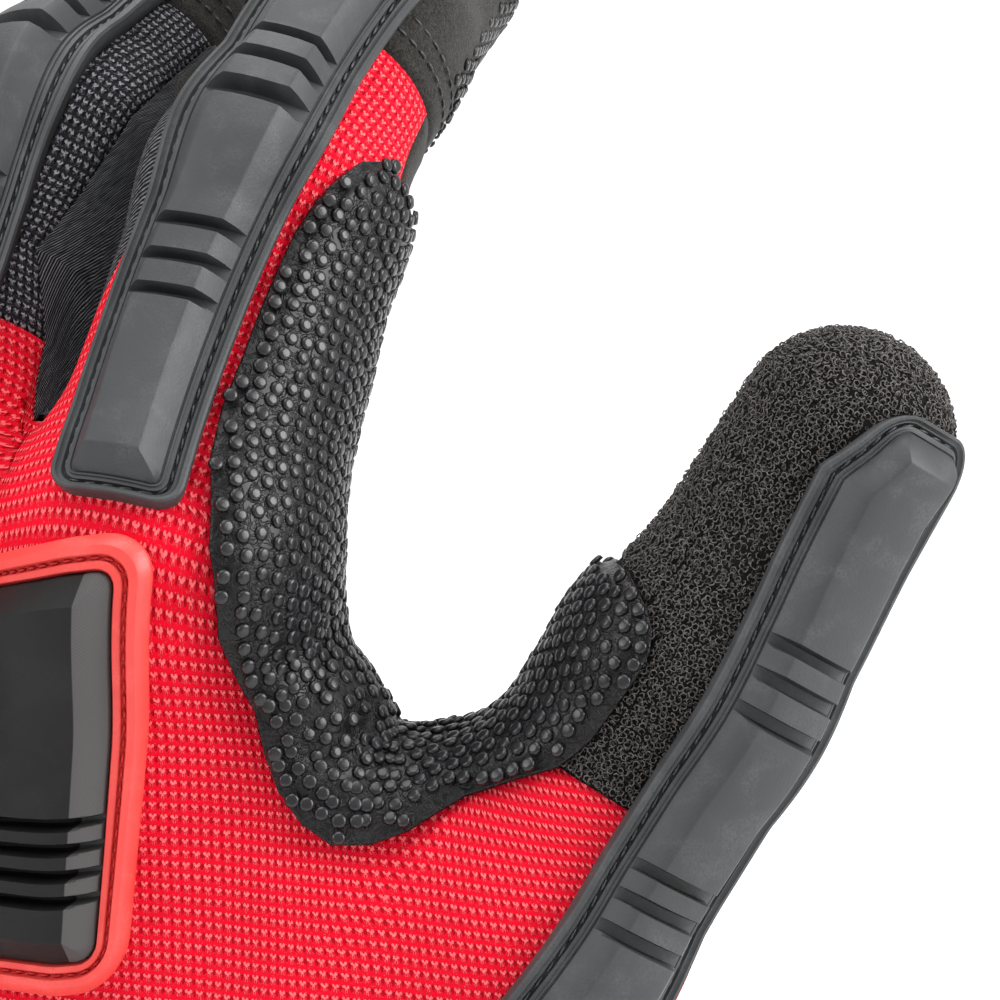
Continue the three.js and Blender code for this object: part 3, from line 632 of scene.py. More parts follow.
# %% Node helpers
class Nodes:
    """Short calls that add nodes to one tree; each gives back an output socket."""

    def __init__(self, tree):
        self.tree = tree

    def put(self, kind, sockets, out=0, **settings):
        """A node of a kind with settings; its sockets are linked or set."""
        node = self.tree.nodes.new(kind)
        for key, value in settings.items():
            setattr(node, key, value)
        for slot, value in sockets.items():
            if isinstance(value, bpy.types.NodeSocket):
                self.tree.links.new(value, node.inputs[slot])
            else:
                node.inputs[slot].default_value = value
        return node.outputs[out]

    def math(self, operation, *values):
        """One step of arithmetic on up to three values."""
        return self.put("ShaderNodeMath", dict(enumerate(values)), operation=operation)

    def add(self, a, b):
        return self.math("ADD", a, b)

    def sub(self, a, b):
        return self.math("SUBTRACT", a, b)

    def mul(self, a, b):
        return self.math("MULTIPLY", a, b)

    def step(self, value, low, high):
        """Smooth step from 0 at low to 1 at high."""
        return self.put("ShaderNodeMapRange", {0: value, 1: low, 2: high, 3: 0.0, 4: 1.0},
                        interpolation_type="SMOOTHSTEP")

    def noise(self, place, scale, detail=2.0, distortion=0.0):
        """Noise of scale per mm, about 0.5 in the mean."""
        return self.put("ShaderNodeTexNoise", {
            "Vector": place, "Scale": scale, "Detail": detail, "Distortion": distortion})

    def mix(self, share, a, b):
        """Colour a at share 0, colour b at share 1."""
        return self.put("ShaderNodeMix", {0: share, 6: a, 7: b}, 2, data_type="RGBA")

    def split(self, vector):
        """The sockets x, y and z of a vector."""
        node = self.tree.nodes.new("ShaderNodeSeparateXYZ")
        self.tree.links.new(vector, node.inputs[0])
        return node.outputs

    def vector(self, x, y, z=0.0):
        """A vector from its coordinates."""
        return self.put("ShaderNodeCombineXYZ", {0: x, 1: y, 2: z})


def socket_value(value):
    """A number as it is; linear red, green and blue with full alpha."""
    return (*value, 1.0) if isinstance(value, tuple) else value


def effect(name, inputs):
    """A node group: Place comes first, then the named inputs with their defaults. It puts out
    Colour and Height."""
    tree = bpy.data.node_groups.new(name, "ShaderNodeTree")
    tree.interface.new_socket("Place", in_out="INPUT", socket_type="NodeSocketVector")
    for key, value in inputs.items():
        kind = "NodeSocketColor" if isinstance(value, tuple) else "NodeSocketFloat"
        socket = tree.interface.new_socket(key, in_out="INPUT", socket_type=kind)
        socket.default_value = socket_value(value)
    tree.interface.new_socket("Colour", in_out="OUTPUT", socket_type="NodeSocketColor")
    tree.interface.new_socket("Height", in_out="OUTPUT", socket_type="NodeSocketFloat")
    start, end = tree.nodes.new("NodeGroupInput"), tree.nodes.new("NodeGroupOutput")

    def close(**found):
        for key, socket in found.items():
            tree.links.new(socket, end.inputs[key])
        return tree

    return Nodes(tree), start.outputs, close


def finish(name, group, values, rough, gloss, bump=0.0, place="sewn", sheen=0.0):
    """A material: the group's colour and, where bump in mm is set, its height. Place is the
    piece's sewn uv in mm, or the object's own space in mm."""
    material = bpy.data.materials.new(name)
    material.use_nodes = True
    tree = material.node_tree
    n = Nodes(tree)
    shader = tree.nodes["Principled BSDF"]
    if place == "sewn":
        where = n.put("ShaderNodeUVMap", {}, uv_map="sewn")
    else:
        own = n.put("ShaderNodeTexCoord", {}, "Object")
        where = n.put("ShaderNodeVectorMath", {0: own, 3: 1 / MM}, operation="SCALE")
    node = tree.nodes.new("ShaderNodeGroup")
    node.node_tree = group
    tree.links.new(where, node.inputs["Place"])
    for key, value in values.items():
        node.inputs[key].default_value = socket_value(value)
    tree.links.new(node.outputs["Colour"], shader.inputs["Base Color"])
    if bump:
        normal = n.put("ShaderNodeBump", {
            "Strength": 1.0, "Distance": bump * MM, "Height": node.outputs["Height"]})
        tree.links.new(normal, shader.inputs["Normal"])
    shader.inputs["Roughness"].default_value = rough
    shader.inputs["Specular IOR Level"].default_value = gloss
    shader.inputs["Sheen Weight"].default_value = sheen
    return material

# %% [markdown]
# The knit mesh is drawn stitch by stitch. Each cell of the piece's own uv, one wale wide and one
# course high, holds a drop-shaped loop of yarn round a dark hole, coloured lighter than the ground
# as a painted highlight; the gaps beside the loops are painted dark as painted shade; short tilted
# bars of yarn cross between the courses. Noise moves the cells a little, because a knit that has
# been used is never even, and makes the painted highlight patchy.

# %% Knit groups
def spot(n, x, y, at, size):
    """Soft oval: 1 at its middle, 0 where (x/a)^2 + (y/b)^2 reaches 1."""
    dx = n.math("DIVIDE", n.sub(x, at[0]), size[0])
    dy = n.math("DIVIDE", n.sub(y, at[1]), size[1])
    return n.step(n.add(n.mul(dx, dx), n.mul(dy, dy)), 1.0, 0.25)


# The loop colour is the yarn's red with a painted highlight; the gap colour is painted shade between the
# loops.
n, pin, close = effect("Knit loops", {
    "Wale": 1.2, "Course": 1.32, "Wander": 0.3, "Ground": (0.60, 0.0015, 0.016),
    "Yarn highlight": (0.92, 0.145, 0.155), "Gap shade": (0.30, 0.0, 0.005)})
drift = n.noise(pin["Place"], 0.35, 1.0)
fuzz = n.noise(pin["Place"], 2.6, 3.0)
u, v, _ = n.split(pin["Place"])
u = n.add(u, n.mul(n.sub(drift, 0.5), pin["Wander"]))
v = n.add(v, n.mul(n.sub(fuzz, 0.5), n.mul(pin["Wander"], 0.9)))
u = n.add(u, n.mul(n.sub(n.noise(pin["Place"], 2.1, 1.0), 0.5), pin["Wander"]))
x = n.sub(n.math("FRACT", n.math("DIVIDE", u, pin["Wale"])), 0.5)
y = n.math("FRACT", n.math("DIVIDE", v, pin["Course"]))
aside = n.math("ABSOLUTE", x)
lobes = spot(n, aside, y, (0.18, 0.60), (0.22, 0.22))
base = spot(n, x, y, (0.0, 0.45), (0.22, 0.22))
notch = spot(n, x, y, (0.0, 0.74), (0.12, 0.17))
strand = n.math("ABSOLUTE", n.math("SINE", n.mul(x, 15.0)))
legs = n.mul(n.step(strand, 0.45, 0.85), spot(n, x, y, (0.0, 0.24), (0.36, 0.27)))
gaps = spot(n, aside, y, (0.5, 0.42), (0.15, 0.30))
yarn = n.sub(n.math("MAXIMUM", lobes, base), n.mul(notch, 0.8))
yarn = n.math("MAXIMUM", yarn, n.mul(legs, 0.5))
# Noise makes the painted highlight on the yarn patchy.
patchy_highlight = n.add(0.5, n.mul(n.step(fuzz, 0.3, 0.7), 0.5))
specks = n.mul(n.step(n.noise(pin["Place"], 3.6, 2.0), 0.56, 0.72), 0.3)
share = n.math("MAXIMUM", n.mul(yarn, patchy_highlight), specks)
# The loops take the painted highlight colour, the gaps the painted shade colour.
tint = n.mix(n.mul(gaps, 0.85), n.mix(share, pin["Ground"], pin["Yarn highlight"]), pin["Gap shade"])
KNIT = close(Colour=tint, Height=n.sub(n.math("MAXIMUM", yarn, specks), n.mul(gaps, 0.5)))

n, pin, close = effect("Fine ribs", {
    "Pitch": 0.7, "Dark": (0.004, 0.004, 0.005), "Light": (0.15, 0.15, 0.165)})
wave_noise = n.noise(pin["Place"], 0.5, 2.0)
u, v, _ = n.split(pin["Place"])
v = n.add(v, n.mul(wave_noise, 0.5))
rib = n.math("ABSOLUTE", n.math("SINE", n.mul(v, n.math("DIVIDE", math.pi, pin["Pitch"]))))
grain = n.noise(n.vector(n.mul(u, 0.5), n.mul(v, 1.5)), 2.0, 2.0)
# The rib crests are coloured light where the grain lets them: a painted highlight on the crests.
share = n.mul(n.step(rib, 0.55, 0.98), n.step(grain, 0.2, 0.7))
RIBS_GROUP = close(Colour=n.mix(share, pin["Dark"], pin["Light"]), Height=rib)

# %% [markdown]
# Suede is short fibre lying every way: two noises with strong distortion give streaks of light
# and dark. Moulded rubber has a fine grain and a few lighter scuffs; on the guard's sloped rim at
# its right-hand end it has a faint slanted lay and a painted highlight, lighter where the side light
# falls. Coated cloth creases, and its crease lines and weave specks are coloured lighter. Terry's
# ground is a field of little yarn rings.

# %% Suede, rubber, coated cloth, terry and yarn groups
n, pin, close = effect("Suede fibres", {"Dark": (0.008, 0.0075, 0.007), "Light": (0.036, 0.034, 0.03)})
streaks = n.noise(pin["Place"], 1.5, 4.0, 2.2)
nap = n.noise(pin["Place"], 4.2, 3.0, 1.0)
brushed = n.noise(pin["Place"], 0.16, 2.0)
both = n.add(n.mul(streaks, 0.6), n.mul(nap, 0.4))
share = n.add(n.step(both, 0.36, 0.68), n.mul(n.sub(brushed, 0.5), 0.5))
SUEDE = close(Colour=n.mix(n.math("MAXIMUM", share, 0.0), pin["Dark"], pin["Light"]), Height=both)

n, pin, close = effect("Rubber grain", {"Base": (0.031, 0.0325, 0.034), "Scuff": (0.05, 0.052, 0.055),
                                        "Slant": 0.0, "Rim": 1e4, "Chamfer highlight": (0.05, 0.05, 0.05)})
fine = n.noise(pin["Place"], 3.2, 3.0)
dusty = n.noise(pin["Place"], 0.22, 5.0, 0.6)
u, v, _ = n.split(pin["Place"])
lay = n.math("SINE", n.mul(n.add(u, n.mul(v, 0.8)), 22.0))
rim = n.step(n.sub(u, pin["Rim"]), 0.0, 0.12)
lay = n.mul(n.mul(lay, pin["Slant"]), rim)
share = n.mul(n.step(dusty, 0.42, 0.72), n.step(fine, 0.25, 0.7))
tint = n.mix(share, pin["Base"], pin["Scuff"])
# Painted highlight: past the rim line the colour is mixed towards a lighter one, as if lit from the side.
painted_highlight = n.mul(rim, n.add(0.85, n.mul(lay, 0.25)))
RUBBER = close(Colour=n.mix(painted_highlight, tint, pin["Chamfer highlight"]), Height=n.add(fine, lay))

n, pin, close = effect("Coated cloth", {"Base": (0.003, 0.003, 0.0035), "Lighter": (0.01, 0.01, 0.011)})
crease = n.math("ABSOLUTE", n.sub(n.noise(pin["Place"], 0.55, 4.0, 1.2), 0.5))
weave = n.noise(pin["Place"], 5.0, 2.0)
# The crease lines and the weave specks are coloured lighter.
share = n.add(n.step(crease, 0.05, 0.0), n.mul(n.step(weave, 0.45, 0.75), 0.5))
COATED = close(Colour=n.mix(n.math("MINIMUM", share, 1.0), pin["Base"], pin["Lighter"]),
               Height=n.add(n.step(crease, 0.0, 0.12), n.mul(weave, 0.12)))

n, pin, close = effect("Terry ground", {"Dark": (0.007, 0.0065, 0.006), "Light": (0.1, 0.09, 0.085)})
cell = n.put("ShaderNodeTexVoronoi", {"Vector": pin["Place"], "Scale": 1.35}, "Distance")
away = n.math("ABSOLUTE", n.sub(cell, 0.36))
ring = n.step(away, 0.15, 0.04)
mottle = n.noise(pin["Place"], 1.1, 3.0)
share = n.mul(ring, n.step(mottle, 0.3, 0.7))
TERRY = close(Colour=n.mix(share, pin["Dark"], pin["Light"]), Height=ring)

n, pin, close = effect("Spun yarn", {
    "Dark": (0.03, 0.027, 0.0255), "Light": (0.115, 0.105, 0.1), "Fineness": 1.0})
spread = n.put("ShaderNodeVectorMath", {0: pin["Place"], 3: pin["Fineness"]}, operation="SCALE")
lumps = n.noise(spread, 2.4, 3.0, 0.5)
YARN = close(Colour=n.mix(n.step(lumps, 0.3, 0.7), pin["Dark"], pin["Light"]), Height=lumps)

# %% [markdown]
# Each finish of the glove: its group with the values that differ from the group's own, then
# roughness, gloss and the depth of the relief in millimetres. Cloth is dull and deep, moulded
# rubber smoother, and the coated dots are the glossiest.

# %% Materials
FINISHES = {  # group, its values, roughness, gloss, relief, place and sheen
    # In the knits, the loop colour carries a painted highlight and the gap colour is painted shade.
    "red_knit": (KNIT, {}, 0.8, 0.06, 0.28),
    "grey_knit": (KNIT, {
        "Wale": 1.05, "Course": 1.1, "Wander": 0.7, "Ground": (0.011, 0.011, 0.013),
        "Yarn highlight": (0.30, 0.295, 0.33), "Gap shade": (0.002, 0.002, 0.003)}, 0.85, 0.1, 0.35),
    "suede": (SUEDE, {}, 0.95, 0.08, 0.16, "object", 0.12),
    # The stretch and binding ribs carry a painted highlight on their crests.
    "stretch": (RIBS_GROUP, {}, 0.8, 0.12, 0.22),
    "terry": (TERRY, {}, 0.95, 0.05, 0.4, "object"),
    "terry_yarn": (YARN, {}, 0.9, 0.1, 0.0, "object", 0.1),
    "dotted_grip": (COATED, {}, 0.34, 0.22, 0.1, "object"),
    "dot": (RUBBER, {"Base": (0.008, 0.008, 0.009), "Scuff": (0.014, 0.014, 0.016)},
            0.29, 0.36, 0.012, "object"),
    "grey_rubber": (RUBBER, {}, 0.5, 0.3, 0.035, "object"),
    "red_rubber": (RUBBER, {"Base": (0.6, 0.045, 0.038), "Scuff": (0.7, 0.075, 0.065)},
                   0.4, 0.35, 0.03, "object"),
    # The charcoal rubber's lighter colour past x = 33.05 mm is a painted highlight on the block's
    # right-hand chamfer.
    "charcoal_rubber": (RUBBER, {
        "Base": (0.006, 0.006, 0.006), "Scuff": (0.01, 0.01, 0.01), "Slant": 0.28, "Rim": 33.05,
        "Chamfer highlight": (0.068, 0.066, 0.066)}, 0.55, 0.18, 0.012),
    "black_knit": (KNIT, {
        "Wale": 0.9, "Course": 1.1, "Ground": (0.006, 0.006, 0.007),
        "Yarn highlight": (0.02, 0.02, 0.022), "Gap shade": (0.002, 0.002, 0.002)}, 0.9, 0.1, 0.25),
    "black_binding": (RIBS_GROUP, {"Pitch": 0.5, "Light": (0.018, 0.018, 0.02)}, 0.7, 0.15, 0.15),
    "thread": (YARN, {"Dark": (0.008, 0.008, 0.009), "Light": (0.05, 0.05, 0.053), "Fineness": 1.6},
               0.45, 0.4, 0.0, "object"),
    "red_thread": (YARN, {"Dark": (0.3, 0.004, 0.008), "Light": (0.62, 0.02, 0.025), "Fineness": 1.6},
                   0.5, 0.3, 0.0, "object"),
}
FINISH = {name: finish(name, *row) for name, row in FINISHES.items()}
print("materials", len(FINISH))

# %% [markdown]
# The panels. The red knit of the back runs on over the index finger in one piece; its uv is in
# millimetres, across the wales and along the courses, so that the knit lies square to the finger
# and level on the hand. The palm and the undersides of the fingers are one suede piece.

# %% Back panel and palm panel
def knit_uv(points, zero):
    """u is the level length along a row from column zero plus that column's x; v is the height,
    and on the index finger the station plus the knuckle's height. Below the knuckles the courses
    fall 4.5 degrees towards the thumb."""
    u = arc(points, zero, flat=True) + points[:, zero:zero + 1, 0]
    near = points - INDEX.pts[0]
    on = np.clip((points[..., 2] - 128) / 34, 0, 1)
    on = on * on * (3 - 2 * on)
    s = dot(near, INDEX.dirs[0])
    v = points[..., 2] * (1 - on) + (INDEX.pts[0][2] + s) * on
    return np.stack([u, v + 0.079 * (u - 25) * (1 - on)], -1)


hand, root = hand_grids(1)
index_middle = hand.shape[1] - 1 - 4 * FINE  # the column over the middle of the index finger
hand_uv = knit_uv(hand, index_middle)
root_uv = np.stack([arc(root, 0, True), 0 * arc(root)], -1)
joint = hand_uv[:root.shape[0], -1]
root_uv[..., 0] += joint[:, :1]
root_uv[..., 1] = root[..., 2] + 0.079 * (root_uv[..., 0] - 25)
edge = BACK_EDGE(np.linspace(INDEX.root, INDEX.cap, 9))
edge[0] = -SEAM_BACK
angles = edge[:, None] + (SEAM_BACK - edge[:, None]) * np.linspace(0, 1, 5)
angles = np.concatenate([angles, np.broadcast_to([SEAM_MID, SEAM_SIDE], (9, 2))], 1)
index_back, index_uv = finger_grid(INDEX, INDEX.root, INDEX.cap, angles, FINE, 6, 8)
from_side = arc(index_back, 4 * FINE)
narrowing = from_side[:, -1:] / from_side[0, -1]
index_uv[..., 0] = from_side + index_uv[0, 4 * FINE, 0] * narrowing
index_uv = index_uv + [25, INDEX.pts[0][2]]


def cloth(points):
    """Soft unevenness of worn cloth."""
    return 0.16 * ripple(points, 3, 16) + 0.09 * ripple(points, 4, 7)


panel("back_knit", [(hand, hand_uv), (root, root_uv), (index_back, index_uv)], -1.5, 0.0,
      "red_knit", "back_panel", extra=cloth)

hand, root = hand_grids(-1)


def flat_uv(points):
    """Plain uv: length across and height."""
    return np.stack([arc(points, 0), points[..., 2]], -1)


under = [(hand, flat_uv(hand)), (root, flat_uv(root))]
for f in (LITTLE, RING, MIDDLE, INDEX):
    angles = PALM
    if f is INDEX:
        angles = np.concatenate([[SEAM_SIDE], PALM])
    if f is LITTLE:
        angles = np.concatenate([PALM, [360 - SEAM_SIDE]])
    under.append(finger_grid(f, f.root, f.cap, angles, PALM_FINE, 4))
panel("palm_suede", under, -1.3, 0.0, "suede", "palm_panel", extra=cloth)

# %% [markdown]
# The fingers but the index have a knit back. A gusset of stretch fabric runs down one finger,
# through the web and up the next, as one band, and a suede cap closes each fingertip. A small
# suede wedge is sewn on the middle finger's side, over the gusset's end.

# %% Finger backs, gussets and caps
NAMES = {id(LITTLE): "little", id(RING): "ring", id(MIDDLE): "middle", id(INDEX): "index"}
for f in (LITTLE, RING, MIDDLE):
    name = NAMES[id(f)]
    angles = np.concatenate([[-SEAM_SIDE], BACK]) if f is LITTLE else BACK
    if f is MIDDLE:
        edge = MIDDLE_EDGE(np.linspace(f.root, f.cap, 6))
        edge[0] = SEAM_BACK
        angles = -SEAM_BACK + (edge[:, None] + SEAM_BACK) * np.linspace(0, 1, 5)
    panel(name + "_knit", [finger_grid(f, f.root, f.cap, angles, FINE, 8)], -1.5, 0.0,
          "grey_knit", name + "_back", extra=cloth)

halves = np.array([1, 0.5, 0, -0.5, -1])


def gusset_side(f, middle, shaped, edge):
    """Rows up one finger's side, from root to cap, at the middle angle and on both sides of it as
    far as the seams; a shaped back seam lies edge(station) degrees away past the root."""
    s = np.linspace(f.root, f.cap, 6)[:, None]
    room = edge(s) if shaped else 90 - SEAM_BACK + 0 * s
    room[0] = 90 - SEAM_BACK
    turned = halves * np.where(halves > 0, room, 90 - SEAM_BACK)
    return on_finger(f, s, middle - math.copysign(1, middle) * turned)


for i, (near, far) in enumerate(((RING, LITTLE), (MIDDLE, RING), (INDEX, MIDDLE))):
    down = gusset_side(near, -90, near is INDEX, lambda s: 90 + BACK_EDGE(s))[::-1]
    up = gusset_side(far, 90, far is MIDDLE, lambda s: 90 - MIDDLE_EDGE(s))
    rows = np.concatenate([down, on_row(WEBS[i], halves * WEB_HALF)[None], up])
    fine = press(refine(rows, FINE, [9] * 5 + [10, 10] + [9] * 5), 3)
    length = arc(np.swapaxes(fine, 0, 1)).T
    names = NAMES[id(near)] + "_" + NAMES[id(far)]
    panel("stretch_" + names, [(fine, np.stack([arc(fine, 2 * FINE), length], -1))], -1.0, 0.0,
          "stretch", "gusset_" + names, tuck=0.3)

low_edge = np.interp(np.linspace(46, 70, 6), [46, 60], [96, 61])
high_edge = np.interp(np.linspace(46, 70, 6), [46, 54], [100, 119])
wedge = low_edge[:, None] + (high_edge - low_edge)[:, None] * np.linspace(0, 1, 5)
wedge_points, wedge_uv = finger_grid(MIDDLE, 46, 70, wedge, 6, 6)
panel("side_suede", [(wedge_points, wedge_uv)], 0.05, 0.6, "suede", None, tuck=0.35)

ALL_ROUND = np.concatenate([[-SEAM_SIDE], BACK, [SEAM_SIDE], PALM, [360 - SEAM_SIDE]])
for f in (LITTLE, RING, MIDDLE, INDEX):
    name = NAMES[id(f)]
    panel(name + "_tip", [finger_grid(f, f.cap, f.tip, ALL_ROUND, 8, 6)], -1.3, 0.0,
          "suede", name + "_cap", extra=cloth)

# %% [markdown]
# Thumb of terry cloth, the cuff and its bound edge.

# %% Thumb, cuff and binding
TERRY_ANGLES = np.linspace(-90, 270, 15)
thumb, thumb_uv = finger_grid(DIGIT, TERRY_SEAM, DIGIT.tip, TERRY_ANGLES, 6, 12, 8)
panel("terry_ground", [(thumb, thumb_uv)], -2.0, -0.15, "terry", "thumb_terry", extra=cloth)


def wrist_grid(low, high, n, along):
    """Grid round the wrist between two heights."""
    z, angle = np.linspace(low, high, n + 1), np.linspace(0, 360, 21)
    fine = press(refine(on_wrist(z[:, None], angle[None]), 6, along), 2)
    return fine, np.stack([arc(fine, 0), np.broadcast_to(fine[:, :1, 2], fine.shape[:2])], -1)


panel("cuff_knit", [wrist_grid(0, CUFF_TOP, 3, 10)], -1.5, 0.0, "black_knit", "cuff")
panel("edge_binding", [wrist_grid(0, 7, 1, 10)], 0.3, 1.6, "black_binding", "cuff_binding",
      tuck=0.7, wide=1.6)

# %% [markdown]
# The patch over the fork of thumb and index finger is coated fabric with raised dots. Its wall
# is a grid across the fork; it stands off the form most at the saddle, where it bridges.

# %% Dotted patch
def curve(a, b, c, d, s):
    """Catmull-Rom curve between b and c, with neighbours a and d, at the share s:
    b + s (c - a) / 2 + s^2 (2a - 5b + 4c - d) / 2 + s^3 (3b - a - 3c + d) / 2."""
    return (b + s * (c - a) / 2 + s ** 2 * (2 * a - 5 * b + 4 * c - d) / 2
            + s ** 3 * (3 * b - a - 3 * c + d) / 2)


def spline(values, t):
    """The curve through the rows of values at the places t."""
    low = np.clip(np.floor(t).astype(int), 0, len(values) - 2)
    s = (t - low).reshape((-1,) + (1,) * (values.ndim - 1))
    return curve(*[values[np.clip(low + k, 0, len(values) - 1)] for k in (-1, 0, 1, 2)], s)


SADDLE, SADDLE_WIDTH, SADDLE_ROW = np.array([44, -2, 112]), 20, 7.5
PATCH_LOW, PATCH_WALL, PATCH_FINE = 0.8, (-0.6, 1.0), 8


def patch_wrinkle(points):
    """Short folds of the coated cloth, strongest over the saddle: waves folded at zero."""
    at_saddle = np.exp(-(np.linalg.norm(points - SADDLE, axis=-1) / SADDLE_WIDTH) ** 2)
    folds = ripple(points * [1, 1, 1.7], 11, 9)
    fine = np.abs(ripple(points, 12, 6)) - 0.8
    return (0.1 + 0.42 * at_saddle) * folds - (0.05 + 0.5 * at_saddle) * fine


where = np.arange(0, len(FORK) - 0.9, 0.5)
at, main, back, top, under = [spline(np.array([row[k] for row in FORK], float), where) for k in range(5)]
shares = np.array([1, 0.83, 0.66, 0.5, 0.33, 0.16, 0, -0.16, -0.33, -0.5, -0.66, -0.83, -1])
turns = np.where(shares > 0, shares * top[:, None], -shares * under[:, None])
rows = [on_row((a, unit(m), unit(b)), turn) for a, m, b, turn in zip(at, main, back, turns)]
patch = press(refine(np.array(rows), PATCH_FINE, PATCH_FINE), 2)
number = np.broadcast_to(where[:, None, None], turns.shape + (1,)).astype(float)
number = refine(number, PATCH_FINE, PATCH_FINE)[..., 0]
patch_lift = PATCH_LOW + 1.9 * np.exp(-((number - SADDLE_ROW) / 3) ** 2)
along = arc(np.swapaxes(patch, 0, 1)).T
patch_uv = np.stack([arc(patch, patch.shape[1] // 2), along], -1)


def lift_of(offset):
    """Height of the patch over the form plus an offset, over the welded points."""
    return lambda points, kept: patch_lift.ravel()[kept] + offset


panel("grip_patch", [(patch, patch_uv)], lift_of(PATCH_WALL[0]), lift_of(PATCH_WALL[1]), "dotted_grip",
      "crotch_patch", tuck=1.2, wide=1.4, extra=patch_wrinkle)

# %% [markdown]
# Moulded rubber: each strip is a plate whose height depends on how far a point lies from its
# outline: a rolled lip, a thin line, the sewing groove, a frame line, then the raised block with
# sloped sides. Rings of equal distance are the lines of the mesh, so that each edge is crisp.

# %% Plates with rings of equal inset
STRIP_PROFILE = np.array([  # inset from the outline, height over the fabric
    (0, 0.45), (0.1, 1.3), (0.3, 1.85), (0.55, 2.05), (0.95, 1.98), (1.1, 1.62), (1.22, 1.5),
    (1.42, 1.5), (1.52, 1.05), (1.7, 0.85), (1.88, 1.05), (1.98, 1.5), (2.36, 1.52), (2.46, 1.76),
    (2.62, 1.76), (2.72, 1.55), (2.82, 1.55), (2.9, 1.85), (3.6, 2.75), (4.4, 3.75), (5.0, 4.45),
    (5.14, 4.56), (5.3, 4.6)])
GROOVE = 1.7


def corner(x, y, wide, tall, radius):
    """Moves a rectangle's lattice so that its rings follow the rounded outline: on the ring with
    inset e the corner has the radius minus e."""
    e = np.minimum(wide - np.abs(x), tall - np.abs(y))
    left, up = np.sign(x), np.sign(y)
    a, b = wide - e, tall - e
    cx, cy = a - np.abs(x), b - np.abs(y)
    r = np.maximum(radius - e, 1e-6)
    share = np.where(cy < cx, 0.5 + 0.5 * cx / r, 0.5 - 0.5 * cy / r)
    inside = (np.maximum(cx, cy) < r) & (radius > e)
    turn = share * np.pi / 2
    nx = np.where(inside, a - r + r * np.cos(turn), np.abs(x))
    ny = np.where(inside, b - r + r * np.sin(turn), np.abs(y))
    return left * nx, up * ny, e


def lattice(wide, tall, insets, step, extra=()):
    """Lines at each inset from both sides, and evenly spaced lines between, with extra ones."""
    rim = np.asarray(insets, float)
    between = np.linspace(-wide + rim[-1], wide - rim[-1], 5)[1:-1]
    x = np.concatenate([-wide + rim, between, wide - rim[::-1]])
    middle = np.arange(-tall + rim[-1] + step, tall - rim[-1] - step / 2, step)
    middle = np.unique(np.round(np.concatenate([middle, np.asarray(extra, float)]), 2))
    middle = middle[np.abs(middle) < tall - rim[-1] - 0.1]
    y = np.concatenate([-tall + rim, middle, tall - rim[::-1]])
    return np.meshgrid(x, y)


def ring_line(wide, tall, e, radius, n=90):
    """The closed line at inset e."""
    a, b, t = wide - e, tall - e, np.linspace(-1, 1, n + 1)[:-1]
    x = np.concatenate([a * t, np.full(n, a), -a * t, np.full(n, -a)])
    y = np.concatenate([np.full(n, -b), b * t, np.full(n, b), -b * t])
    return corner(x, y, wide, tall, radius)[:2]


def plate(name, node, place, xy, height, bottom, finish, mask=None):
    """A closed moulded wall from height bottom to the height array over the lattice xy, set on
    the form by place(x, y). Cells are cut along the diagonal that follows the corners' hips."""
    x, y = xy
    turned = (x[1:, 1:] + x[:-1, :-1]) * (y[1:, 1:] + y[:-1, :-1]) < 0
    grid = place(x, y), np.stack(xy, -1), mask, turned
    obj = panel(name, [grid], bottom, lambda p, kept: height.ravel()[kept], finish, node, tuck=0.0)
    obj.data.set_sharp_from_angle(angle=math.radians(24))
    return obj

# %% [markdown]
# A stitch is a short piece of thread that dives into the fabric at both ends: a bar that is
# thickest in its middle and stands in a low arch.

# %% Stitches
def thread(name, lines, pitch, length, radius, finish, bulge=0.12, lean=0.0):
    """Stitches along closed or open lines of points with normals: short round bars, pitch apart,
    whose middle stands bulge over their ends and which lean across the line."""
    verts, faces, start = [], [], 0
    rings, sides = np.linspace(0, 1, 6), np.arange(6) * np.pi / 3
    for points, normals in lines:
        run = length_along(points)
        n = int(run[-1] / pitch)
        at = (np.arange(n) + 0.5) * run[-1] / n
        p, q = place_along(at - length / 2, run, points), place_along(at + length / 2, run, points)
        up = unit(place_along(at, run, normals))
        way = unit(q - p)
        side = np.cross(up, way)
        p, q = p - side * lean, q + side * lean
        body = p[:, None] + (q - p)[:, None] * rings[:, None]
        body = body + up[:, None] * (bulge * np.sin(np.pi * rings))[:, None]
        size = radius * np.sqrt(np.clip(1 - (2 * rings - 1) ** 4, 0.04, 1))
        ring = np.cos(sides)[:, None] * up[:, None, None] + np.sin(sides)[:, None] * side[:, None, None]
        v = body[:, :, None] + ring * size[:, None, None]
        verts.append(v.reshape(-1, 3))
        quad = tube_faces(6, 6)
        caps = np.array([[0, 3, 2, 1], [0, 5, 4, 3], [30, 31, 32, 33], [30, 33, 34, 35]])
        one = np.concatenate([quad, caps])
        faces.append(start + repeated(one, n, 36))
        start += 36 * n
    faces = np.concatenate(faces)
    obj = add_mesh(name, np.concatenate(verts), faces)
    wear(obj, finish)
    print(name, len(obj.data.polygons) // (len(quad) + len(caps)), "stitches")


def on_form(points, height):
    """Points raised over the form, with their normals."""
    normal = unit(slope(points))
    return points + normal * height, normal


# %% [markdown]
# One strip lies on each finger and on the thumb. Its plate is laid out flat, with the height from
# the profile, and then set on a smooth sheet over the finger. Two groups of three cuts let the
# real strip bend over the joints.

